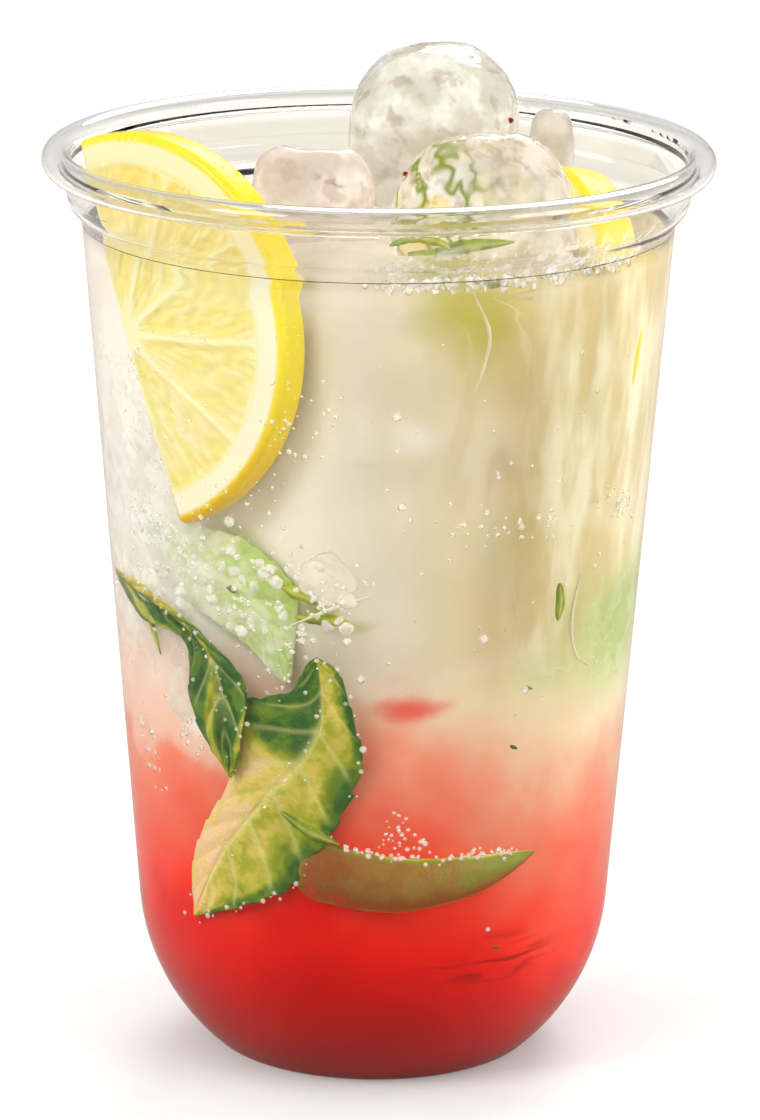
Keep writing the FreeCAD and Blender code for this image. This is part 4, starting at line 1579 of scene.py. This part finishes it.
@dataclass
class Bubbles:
    """All the gas bubbles, joined in one piece: hollows in the drink, so they face inwards."""

    wall: InnerWall
    name: str = "bubbles"
    used_for: Slot = Slot.SODA
    seed: int = 7
    inwards: bool = True
    off_wall: float = 0.1
    spheres: list[tuple[np.ndarray, float]] = field(default_factory=list)
    rows: int = 6
    columns: int = 10
    finish: Finish = ClearFinish(name="bubble", index=1.33, tint=Tint(255, 254, 250), milk=0.35)

    def __post_init__(self) -> None:
        """Start the seeded dice."""
        self.dice = np.random.default_rng(self.seed)

    def add(self, point: np.ndarray, radius: float) -> None:
        """Place one bubble."""
        self.spheres.append((np.asarray(point, float), radius))

    def by_wall(self, bearing: float, height: float, radius: float, depth: float = 0.0) -> None:
        """Place one bubble beside the wall, or so far in from it."""
        self.add(self.wall.place(bearing, height, radius + self.off_wall + depth), radius)

    def size(self, radii: tuple[float, float], power: float = 2.0) -> float:
        """Throw the dice for one radius; small ones come up more often."""
        return radii[0] + (radii[1] - radii[0]) * self.dice.random() ** power

    def on_wall(self, places: Sequence[tuple[float, float, float]]) -> None:
        """Place bubbles against the wall, each by its bearing, height and radius."""
        for place in places:
            self.by_wall(*place)

    def scatter(self, count: int, bearings: tuple[float, float], heights: tuple[float, float],
                radii: tuple[float, float], depth: float = 0.0) -> None:
        """Scatter bubbles over a stretch of the wall.

        Args:
            count: how many.
            bearings: the stretch's ends.
            heights: its lowest and highest point.
            radii: the smallest and the largest bubble.
            depth: how far in from the wall they may be.
        """
        for _ in range(count):
            radius = self.size(radii, 2.5)
            self.by_wall(self.dice.uniform(*bearings), self.dice.uniform(*heights), radius,
                         depth * self.dice.random())

    def cluster(self, count: int, bearing: float, height: float, spread: float, radii: tuple[float, float],
                depth: float = 1.0) -> None:
        """Gather bubbles round one place on the wall.

        Args:
            count: how many.
            bearing: the place's bearing.
            height: its height.
            spread: how far they stray from it.
            radii: the smallest and the largest bubble.
            depth: how far in from the wall they may be.
        """
        for _ in range(count):
            radius = self.size(radii)
            turn = bearing + math.degrees(self.dice.normal(0.0, spread) / self.wall.radius(height))
            self.by_wall(turn, height + self.dice.normal(0.0, spread), radius, depth * self.dice.random())

    def along_edge(self, line: np.ndarray, count: int, radii: tuple[float, float], stray: float) -> None:
        """Hang bubbles on an edge.

        Args:
            line: points of the edge.
            count: how many.
            radii: the smallest and the largest bubble.
            stray: how far off the edge they may be.
        """
        for _ in range(count):
            point = line[self.dice.integers(len(line))] + self.dice.normal(0.0, stray, 3)
            self.add(point, self.size(radii))

    def shape(self, ball: np.ndarray) -> np.ndarray:
        """The shape of the next one, before it is sized."""
        return ball

    def build(self) -> bpy.types.Object:
        """Make the piece.

        Returns:
            The piece.
        """
        rise = np.linspace(-math.pi / 2, math.pi / 2, self.rows + 2)[1:-1]
        ball = [(math.cos(a) * math.cos(t), math.cos(a) * math.sin(t), math.sin(a))
                for a in rise for t in full_turn(self.columns)]
        ball = np.array(ball + [(0.0, 0.0, -1.0), (0.0, 0.0, 1.0)])
        faces = grid_faces(self.rows, self.columns, closed=True) + end_fans(self.rows, self.columns)
        if self.inwards:
            faces = [face[::-1] for face in faces]
        points, all_faces = [], []
        for number, (middle, radius) in enumerate(self.spheres):
            points.append(self.shape(ball) * radius + middle)
            all_faces += [tuple(i + number * len(ball) for i in face) for face in faces]
        piece = make_piece(self.name, np.vstack(points), all_faces, self.finish.build())
        return settle(piece, self.used_for)


@dataclass
class Crumbs(Bubbles):
    """Small crushed pieces, each of its own shape, joined in one piece."""

    name: str = "ice_crumbs"
    used_for: Slot = Slot.ICE
    inwards: bool = False
    lumps: float = 0.35
    finish: Finish = IceFinish(name="crushed_ice", milk=0.5, spot_size=2.0, ripple=0.0,
                               clear=Tint(255, 255, 252), cloud=Tint(246, 244, 234),
                               shade=Tint(222, 216, 200))

    def shape(self, ball: np.ndarray) -> np.ndarray:
        """Stretch, dent and turn the next crumb.

        Args:
            ball: a plain ball.

        Returns:
            The crumb, still of size one.
        """
        stretched = ball * self.dice.uniform(0.55, 1.25, 3)
        dents = 1.0 + self.lumps * roughen(ball, 0.9, float(self.dice.uniform(0.0, 90.0)))
        stretched = stretched * dents[:, None]
        stretched /= np.linalg.norm(stretched, axis=1).max()
        turn = Matrix.Rotation(self.dice.uniform(0.0, math.tau), 3, Vector(self.dice.normal(0.0, 1.0, 3)))
        return stretched @ np.array(turn)


@dataclass
class LeafBit:
    """One torn bit of leaf or one fibre: its midline, its width and how pale it is."""

    rib: Sequence[Point]
    width: float
    tone: float


@dataclass
class LeafBits:
    """Torn bits joined in one piece, each curled about its midline beside the wall."""

    name: str
    bits: Sequence[LeafBit]
    finish: LeafFinish = LeafFinish()
    rows: int = 40
    columns: int = 9
    thick: float = 0.2

    def build(self, wall: InnerWall) -> bpy.types.Object:
        """Make the piece.

        Args:
            wall: the cup's inside.

        Returns:
            The piece.
        """
        points, faces, tones, veins = [], [], [], []
        turns = full_turn(2 * self.columns)
        down = np.linspace(0.0, 1.0, self.rows)
        for number, bit in enumerate(self.bits):
            rib = along([wall.place(*place) for place in bit.rib], self.rows)
            run = np.gradient(rib, axis=0)
            run /= np.linalg.norm(run, axis=1)[:, None]
            way = inward(rib)
            across = np.cross(run, way)
            half = bit.width / 2 * (0.08 + 0.92 * np.sin(math.pi * np.clip(down * 0.96 + 0.02, 0, 1)) ** 0.7)
            half = half * (1.0 + 0.3 * roughen(rib, 1.3, number + 2.0))
            curl = 0.35 * half[:, None] * np.cos(turns)[None, :] ** 2 + self.thick * np.sin(turns)[None, :]
            swing = half[:, None] * np.cos(turns)[None, :]
            ring = (rib[:, None, :] + across[:, None, :] * swing[:, :, None]
                    + way[:, None, :] * curl[:, :, None])
            faces += grid_faces(self.rows, len(turns), closed=True, first=number * ring.size // 3)
            points.append(ring.reshape(-1, 3))
            tones.append(np.full(ring.size // 3, bit.tone))
            veins.append(np.tile(np.exp(-(np.cos(turns) / 0.2) ** 2) * (bit.width > 1.0), self.rows))
        piece = make_piece(self.name, np.vstack(points), faces, self.finish.build())
        store(piece, "tone", np.concatenate(tones))
        store(piece, "vein", np.concatenate(veins))
        return settle(piece, Slot.SODA)


# ------------------------------------------------------------------------------ the studio
@dataclass(frozen=True)
class FloorFinish(Finish):
    """A dull pale floor, darker where something shiny mirrors it."""

    name: str = "pale_floor"
    roughness: float = 0.9
    gloss: float = 0.0
    tint: Tint = Tint(226, 226, 225)
    pale: Tint = Tint(230, 230, 229)
    mirrored: Tint = Tint(170, 158, 152)

    def dress(self, bench: Bench, shader: bpy.types.Node) -> None:
        """Mottle the floor faintly and darken it where it is mirrored."""
        colour = bench.blend(bench.mottle(bench.place(), 20.0, 0.3, 0.7), self.tint, self.pale)
        bench.feed(shader.inputs["Base Color"], bench.blend(bench.mirror_ray(), colour, self.mirrored))


@dataclass
class Studio:
    """A pale floor, soft light and the camera."""

    aim: Point = (0.62, 0.0, 71.06)
    distance: float = 850.0
    elevation: float = 14.96
    roll: float = 0.503
    lens: float = 190.6
    sensor: float = 36.0
    floor_reach: float = 4000.0
    floor_sides: int = 64
    floor_drop: float = 0.02
    sky: float = 1.08
    sky_tint: Tint = Tint(255, 254, 252)
    dome: tuple[tuple[float, Tint], ...] = (
        (0.0, WHITE), (0.35, Tint(238, 239, 240)), (1.0, Tint(172, 174, 178)))
    mirrored: float = 0.35
    key: float = 3.2
    fill: float = 1.8
    side: float = 1.3
    clear_bounces: int = 18
    dull_bounces: int = 5

    def build(self) -> None:
        """Make everything that isn't part of the drink."""
        self.build_floor()
        self.build_sky()
        self.lamp("key", (-600.0, -500.0, 750.0), 420.0, self.key)
        self.lamp("fill", (650.0, -350.0, 450.0), 420.0, self.fill)
        self.lamp("back", (150.0, 700.0, 700.0), 500.0, self.key)
        self.lamp("left", (-850.0, 60.0, 240.0), 420.0, self.side)
        self.lamp("right", (850.0, 60.0, 240.0), 420.0, self.side)
        self.build_camera()
        scene = bpy.context.scene
        scene.view_settings.view_transform = "Standard"
        for name in ("max_bounces", "transmission_bounces", "transparent_max_bounces", "glossy_bounces"):
            setattr(scene.cycles, name, self.clear_bounces)
        scene.cycles.diffuse_bounces = self.dull_bounces

    def build_floor(self) -> None:
        """Make the floor: a wide disc with rings that grow outwards."""
        reaches = np.concatenate([[0.0], np.geomspace(60.0, self.floor_reach, 12)])
        turns = full_turn(self.floor_sides)
        round_way = np.stack([np.cos(turns), np.sin(turns), 0.0 * turns], axis=1)
        points = np.vstack([max(r, 1.0) * round_way for r in reaches]) - np.array([0.0, 0.0, self.floor_drop])
        faces = grid_faces(len(reaches), self.floor_sides, closed=True)
        faces.append(end_caps(len(reaches), self.floor_sides)[0])
        make_piece("floor", points, faces, FloorFinish().build())

    def build_sky(self) -> None:
        """Make the light that comes from all round, and the white that shows behind the drink."""
        world = bpy.data.worlds.new("studio")
        bpy.context.scene.world = world
        world.use_nodes = True
        bench = Bench(world.node_tree)
        way = bench.put("TexCoord").outputs["Generated"]
        rise = bench.remap(bench.put("SeparateXYZ", {0: way}).outputs["Z"], 0.0, 0.8)
        dome = bench.ramp(rise, self.dome)
        ray = bench.put("LightPath").outputs
        seen = bench.sum("ADD", ray["Is Camera Ray"], ray["Is Glossy Ray"], clamp=True)
        seen = bench.sum("ADD", seen, ray["Is Transmission Ray"], clamp=True)
        power = bench.remap(bench.mirror_ray(), 0.0, 1.0, 1.0, self.mirrored)
        light = bench.put("Background", {"Color": self.sky_tint, "Strength": self.sky})
        shown = bench.put("Background", {"Color": dome, "Strength": power})
        mix = bench.put("MixShader", {0: seen, 1: light.outputs[0], 2: shown.outputs[0]})
        bench.put("OutputWorld", {"Surface": mix.outputs[0]})

    def lamp(self, name: str, place: Point, wide: float, watts: float) -> None:
        """Hang a large soft lamp that looks at the drink.

        Args:
            name: its name.
            place: where it hangs.
            wide: its width.
            watts: its power.
        """
        data = bpy.data.lights.new(name, "AREA")
        data.shape = "DISK"
        data.size = wide * MM
        data.energy = watts
        lamp = add_object(name, data)
        lamp.location = Vector(place) * MM
        lamp.rotation_euler = (Vector(self.aim) - Vector(place)).to_track_quat("-Z", "Y").to_euler()

    def build_camera(self) -> None:
        """Make the camera."""
        data = bpy.data.cameras.new("camera")
        data.lens = self.lens
        data.sensor_width = self.sensor
        data.clip_start = 10.0 * MM
        camera = add_object("camera", data)
        tilt = math.radians(self.elevation)
        back = Vector((0.0, -math.cos(tilt), math.sin(tilt)))
        look = (-back).to_track_quat("-Z", "Y").to_matrix() @ Matrix.Rotation(math.radians(self.roll), 3, "Z")
        stand = (Vector(self.aim) + back * self.distance) * MM
        camera.matrix_world = Matrix.Translation(stand) @ look.to_4x4()
        bpy.context.scene.camera = camera


# ------------------------------------------------------------------------------ the whole
def front_leaf_tone(down: np.ndarray, side: np.ndarray) -> np.ndarray:
    """How pale the front leaf is: lime beside its midrib, green on its right, bleached to its lower left."""
    right = 0.58 - 0.16 * smooth_step(side, 0.45, 0.7) - 0.34 * smooth_step(side, 0.72, 0.9)
    right = right + 0.2 * smooth_step(down, 0.7, 1.0)
    left = 0.08 + 0.72 * smooth_step(down, 0.3, 0.42) + 0.16 * smooth_step(down, 0.5, 0.66)
    streak = 0.1 * np.sin(26 * down - 7 * np.abs(side)) * smooth_step(np.abs(side), 0.1, 0.5)
    return np.where(side > 0, right, left) + streak


def side_leaf_tone(down: np.ndarray, side: np.ndarray) -> np.ndarray:
    """How pale the leaf at the left is: deep green, with a bright upper edge and tips, and painted highlights
    on the folds.
    """
    edge = 0.55 * smooth_step(side, 0.1, 0.45) * smooth_step(1 - down, 0.45, 0.7)
    tip = 0.45 * smooth_step(down, 0.9, 1.0) + 0.55 * smooth_step(1 - down, 0.9, 1.0)
    # Painted highlights: pale bands where the folds catch the light.
    fold_highlight = 0.42 * smooth_step(np.sin(11 * down + 4 * side + 1.0), 0.55, 0.95)
    return 0.06 + np.maximum(np.maximum(edge, tip), fold_highlight)


def build_leaves(wall: InnerWall) -> list[MintLeaf]:
    """The sunk mint leaves.

    Args:
        wall: the cup's inside.

    Returns:
        The leaves that bubbles hang on, after they are made.
    """
    front = MintLeaf(
        "mint_front",
        rib=((-103.0, 66.0), (-102.0, 60.0), (-103.0, 55.0), (-109.5, 49.0), (-117.5, 44.0), (-130.0, 35.0),
             (-141.0, 24.5)),
        left=((-103.0, 66.2), (-105.5, 65.0), (-109.5, 61.0), (-117.0, 59.5), (-124.5, 57.8), (-122.5, 53.8),
              (-126.5, 46.5), (-134.0, 40.0), (-141.5, 32.0), (-141.2, 24.5)),
        right=((-103.0, 66.2), (-98.0, 64.0), (-94.5, 57.0), (-92.5, 51.0), (-96.0, 45.0), (-100.0, 40.5),
               (-105.5, 36.0), (-111.0, 31.5), (-125.0, 27.5), (-140.5, 24.2)),
        depths=(3.0, 2.2, 2.6), tone=front_leaf_tone)
    side = MintLeaf(
        "mint_side",
        rib=((-169.5, 71.4), (-157.0, 70.2), (-143.0, 68.8), (-134.0, 66.5), (-129.0, 63.0), (-127.5, 59.0),
             (-127.5, 54.5), (-125.8, 50.5), (-125.2, 47.2)),
        left=((-169.7, 71.2), (-161.5, 69.0), (-152.5, 67.0), (-142.0, 67.0), (-137.5, 66.0), (-136.0, 63.0),
              (-136.0, 58.5), (-134.0, 54.0), (-130.5, 51.0), (-127.5, 49.0), (-125.3, 47.2)),
        right=((-169.5, 71.6), (-154.0, 72.1), (-142.5, 71.0), (-136.0, 69.3), (-130.0, 67.0), (-123.5, 64.0),
               (-120.0, 61.0), (-120.3, 57.0), (-121.3, 53.5), (-122.8, 49.8), (-125.1, 47.2)),
        depths=(1.2, 2.4, 1.2), tone=side_leaf_tone, teeth=9, seed=5.0, bulge=1.5)
    pale = MintLeaf(
        "mint_pale",
        rib=((-150.0, 80.5), (-138.0, 78.5), (-126.0, 75.5), (-116.0, 70.0), (-111.0, 62.0)),
        left=((-150.0, 80.0), (-144.0, 73.0), (-132.0, 69.5), (-122.0, 66.5), (-111.5, 61.5)),
        right=((-149.5, 81.0), (-134.0, 82.5), (-120.0, 81.5), (-109.0, 75.0), (-110.5, 62.5)),
        depths=(4.8, 4.0, 5.2), tone=lambda down, side: 0.5 - 0.3 * side + 0.2 * np.sin(7 * down),
        seed=9.0, bulge=0.8, finish=LeafFinish(
            name="mint_bleached",
            tones=(Tint(188, 212, 122), Tint(216, 228, 172), Tint(240, 244, 222)),
            vein=Tint(240, 244, 222), vein_share=0.3, mottle_size=4.0, mottle_share=0.35))
    for leaf in (pale, front, side):
        leaf.build(wall)
    return [front, side]


def build_bits(wall: InnerWall) -> None:
    """The torn bits of mint and the pale fibres.

    Args:
        wall: the cup's inside.
    """
    LeafBits("mint_bits", (
        LeafBit(((-81.0, 121.4, 15.4), (-74.0, 121.2, 14.6), (-66.0, 122.6, 13.0), (-56.3, 123.6, 9.8)),
                2.3, 0.3),
        LeafBit(((-87.0, 123.0, 14.5), (-80.0, 124.3, 14.0), (-74.0, 123.7, 13.0), (-70.0, 122.4, 13.0)),
                1.5, 0.36),
        LeafBit(((-73.0, 120.2, 1.4), (-67.8, 119.6, 1.3), (-62.6, 119.7, 1.4)), 1.5, 0.26),
        LeafBit(((-155.0, 69.6, 0.9), (-150.0, 67.6, 1.1), (-146.0, 62.6, 1.3)), 1.4, 0.35),
        LeafBit(((-47.2, 75.4, 0.45), (-46.5, 72.5, 0.4), (-46.8, 69.9, 0.45)), 1.9, 0.34),
        LeafBit(((-112.0, 76.0, 4.0), (-107.0, 75.0, 3.6), (-102.5, 74.0, 4.0)), 2.0, 0.4),
        LeafBit(((-108.5, 71.6, 4.0), (-102.0, 71.8, 3.5), (-96.0, 71.3, 4.0)), 1.8, 0.44),
        LeafBit(((-125.6, 74.8, 3.6), (-123.0, 74.4, 3.6)), 0.9, 0.1),
        LeafBit(((-112.5, 43.0, 2.2), (-106.0, 40.6, 2.0), (-98.0, 38.8, 2.2)), 1.6, 0.3),
        LeafBit(((-57.4, 52.4, 1.2), (-55.4, 51.8, 1.2)), 0.6, 0.0),
        LeafBit(((-54.4, 60.9, 1.2), (-52.2, 60.3, 1.2)), 0.5, 0.0),
        LeafBit(((-59.0, 22.4, 0.9), (-57.4, 22.0, 0.9)), 0.5, 0.0))).build(wall)
    LeafBits("pale_fibres", (
        LeafBit(((-109.3, 70.6, 3.0), (-100.3, 73.3, 2.6), (-91.0, 75.5, 3.0)), 0.5, 0.8),
        LeafBit(((-105.5, 80.2, 3.5), (-100.0, 81.8, 3.0), (-95.5, 79.2, 3.5)), 0.45, 0.7),
        LeafBit(((-41.0, 76.0, 0.5), (-42.5, 69.0, 0.4), (-40.0, 64.0, 0.5), (-35.0, 61.8, 0.6)), 0.7, 0.6),
        LeafBit(((-71.0, 118.5, 1.6), (-67.6, 113.0, 1.4), (-68.2, 108.6, 1.4), (-70.0, 104.6, 1.6)),
                0.5, 0.4)),
        LeafFinish(name="fibre", tones=(Tint(218, 206, 164), Tint(246, 240, 220)),
                   vein_share=0.0)).build(wall)


def build_veils(wall: InnerWall) -> None:
    """The thin clouds beside the wall, left and right, and the foam at the surface.

    Args:
        wall: the cup's inside.
    """
    HazeVeil("haze_right", (-67.0, 48.0), (54.0, 120.4), 0.6,
             HazeFinish(name="haze_right", tint=Tint(230, 211, 158), pale=Tint(254, 247, 214), cover=0.97,
                        least=0.9, grain=7.0, drawn_out=3.5), fades=(0.17, 0.3, 0.03), slack=0.15).build(wall)
    HazeVeil("haze_green", (-52.0, 20.0), (53.0, 79.0), 0.35,
             HazeFinish(name="haze_green", tint=Tint(184, 224, 128), pale=Tint(214, 236, 176), cover=0.85,
                        least=0.6), fades=(0.45, 0.45, 0.45), slack=0.08, seed=4.0).build(wall)
    HazeVeil("haze_left", (-218.0, -116.0), (50.0, 114.0), 2.2,
             HazeFinish(name="haze_left", tint=Tint(252, 248, 242), pale=Tint(255, 254, 252),
                        cover=0.8), fades=(0.38, 0.35, 0.35), seed=6.0).build(wall)
    HazeVeil("foam", (-96.0, -22.0), (118.4, 127.0), 0.5,
             HazeFinish(name="foam", tint=Tint(214, 204, 180), pale=Tint(250, 247, 238), cover=0.85,
                        least=0.3, grain=1.8), fades=(0.12, 0.2, 0.6), slack=0.2, seed=8.0).build(wall)


def build_bubbles(wall: InnerWall, leaves: Sequence[MintLeaf], lime: LimeWedge) -> None:
    """The bubbles on the wall, on the leaves and along the surface, and the crushed ice among them.

    Args:
        wall: the cup's inside.
        leaves: the leaves that they hang on.
        lime: the wedge that they sit on.
    """
    bubbles = Bubbles(wall)
    bubbles.on_wall(((-86.0, 101.7, 0.75), (-84.7, 88.8, 0.65), (-65.7, 68.8, 0.75), (-54.7, 60.5, 0.6),
                     (-92.4, 53.4, 0.55), (-35.7, 76.5, 0.6), (-49.2, 90.6, 0.4), (-27.6, 84.9, 0.4),
                     (-93.0, 63.7, 0.6), (-122.1, 85.0, 0.8), (-92.4, 120.0, 0.5), (-61.0, 25.3, 0.4)))
    bubbles.scatter(30, (-78.0, -48.0), (82.5, 87.5), (0.2, 0.5))
    bubbles.scatter(110, (-150.0, -20.0), (55.0, 116.0), (0.12, 0.4))
    bubbles.scatter(90, (-88.0, -32.0), (119.0, 121.0), (0.25, 0.75))
    for bearing, height in ((-141.9, 81.4), (-134.3, 77.9), (-153.2, 75.4), (-121.0, 73.6), (-106.7, 68.8),
                            (-99.8, 74.9), (-112.9, 62.5), (-151.4, 44.5), (-134.6, 51.4), (-154.8, 50.7),
                            (-150.0, 84.0)):
        bubbles.cluster(14, bearing, height, 1.7, (0.15, 0.55))
    bubbles.cluster(16, -26.0, 84.0, 1.3, (0.2, 0.6), 0.1)
    bubbles.cluster(10, -34.0, 86.5, 1.0, (0.2, 0.5), 0.1)
    for bearing, height in ((-126.4, 85.4), (-115.0, 90.0), (-108.0, 97.6), (-104.0, 103.5), (-150.0, 96.0),
                            (-146.0, 104.0), (-142.0, 90.0)):
        bubbles.cluster(14, bearing, height, 2.2, (0.12, 0.4), 0.4)
    bubbles.cluster(26, -84.0, 40.6, 1.6, (0.15, 0.4), 1.0)
    bubbles.cluster(14, -80.0, 38.0, 2.2, (0.2, 0.45), 1.0)
    crest = along([wall.place(b, z + 0.5, lime.depth - 1.6) for b, z in lime.top[2:-1]], 60)
    bubbles.along_edge(crest, 60, (0.2, 0.45), 0.3)
    for leaf in leaves:
        bubbles.along_edge(leaf.line(wall, leaf.right, leaf.depths[2] - 0.8), 34, (0.12, 0.42), 0.45)
        bubbles.along_edge(leaf.line(wall, leaf.rib, leaf.depths[1] - 1.2), 26, (0.15, 0.4), 1.2)
    bubbles.build()
    crumbs = Crumbs(wall, seed=3)
    crumbs.scatter(130, (-152.0, -94.0), (69.0, 83.0), (0.4, 1.5), 2.6)
    crumbs.cluster(14, -27.0, 84.5, 1.5, (0.4, 1.0), 0.1)
    crumbs.scatter(34, (-84.0, -34.0), (119.4, 120.6), (0.4, 0.9), 0.6)
    crumbs.build()
    sunk = Crumbs(wall, name="sunk_ice", seed=12, rows=22, columns=34, lumps=0.28, finish=IceFinish(
        name="sunk_ice", clear=Tint(255, 254, 250), cloud=Tint(250, 247, 240), shade=Tint(236, 230, 214),
        index=1.1, milk=0.35, ripple=0.2))
    for bearing, height, radius in ((-143.0, 57.0, 5.0), (-131.0, 76.0, 4.2), (-101.0, 77.0, 4.6),
                                    (-152.0, 93.0, 4.4)):
        sunk.add(wall.place(bearing, height, radius + 0.3), radius)
    sunk.build()


def build_specks(ice: Sequence[bpy.types.Object], wall: InnerWall) -> None:
    """The tiny drops of syrup that lie on the ice.

    Args:
        ice: the back and the front block.
        wall: the cup's inside.
    """
    drops = Crumbs(wall, name="syrup_drops", used_for=Slot.SYRUP, seed=5, finish=ClearFinish(
        name="syrup_drop", index=1.4, tint=Tint(150, 14, 10), milk=0.6))
    for block, (across, height) in zip(ice, ((18.6, 133.0), (3.8, 130.6))):
        tree = BVHTree.FromObject(block, bpy.context.evaluated_depsgraph_get())
        hit = tree.ray_cast(Vector((across, -90.0, height)) * MM, Vector((0.0, 1.0, 0.0)))[0]
        if hit:
            drops.add(np.array(hit) / MM, 0.6)
    drops.build()


def main() -> None:
    """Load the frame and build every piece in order."""
    logging.basicConfig(level=logging.INFO, format="%(name)s: %(message)s")
    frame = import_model()
    nodes = frame["nodes"]
    Studio().build()
    wall = InnerWall(nodes["cup"])
    Cup(nodes["cup"]).build()
    slices = [LemonSlice("lemon_left", Cut.HALF, -128.0, 3.7, 23.0),
              LemonSlice("lemon_right", Cut.WHOLE, 20.0, -10.0, 12.0)]
    for piece in slices:
        piece.build(nodes[piece.name])
    blocks = [IceBlock("ice_back", 2.0, -0.06, (4.6, 2.4), finish=IceFinish(
                  name="ice_cloudy", clear=Tint(246, 247, 242), cloud=Tint(214, 210, 198),
                  shade=Tint(184, 176, 158))),
              IceBlock("ice_front", 5.0, 0.1, (2.6, 2.6), finish=IceFinish(
                  name="ice_mint", clear=WHITE, cloud=Tint(226, 222, 212),
                  shade=Tint(184, 170, 152), milk=0.34, mint=((7.0, -20.0, 127.0), (11.0, 16.0, 13.0)))),
              IceBlock("ice_left", 8.0, -0.2, (1.5, 2.0), finish=IceFinish(
                  name="ice_dull", clear=Tint(240, 234, 228), cloud=Tint(214, 202, 192),
                  shade=Tint(200, 180, 168))),
              IceBlock("ice_chip", 11.0, 0.0, (1.0, 1.0), finish=IceFinish(
                  name="ice_chip", clear=Tint(232, 228, 220), cloud=Tint(208, 200, 188)))]
    ice = [block.build(nodes[block.name]) for block in blocks]
    Drink(wall).build(ice)
    CloudyHeart(wall, [piece.inner_plane() for piece in slices]).build(HeartFinish())
    build_veils(wall)
    leaves = build_leaves(wall)
    build_bits(wall)
    lime = LimeWedge()
    lime.build(wall)
    build_bubbles(wall, leaves, lime)
    build_specks(ice[:2], wall)


if __name__ == "__main__":
    main()
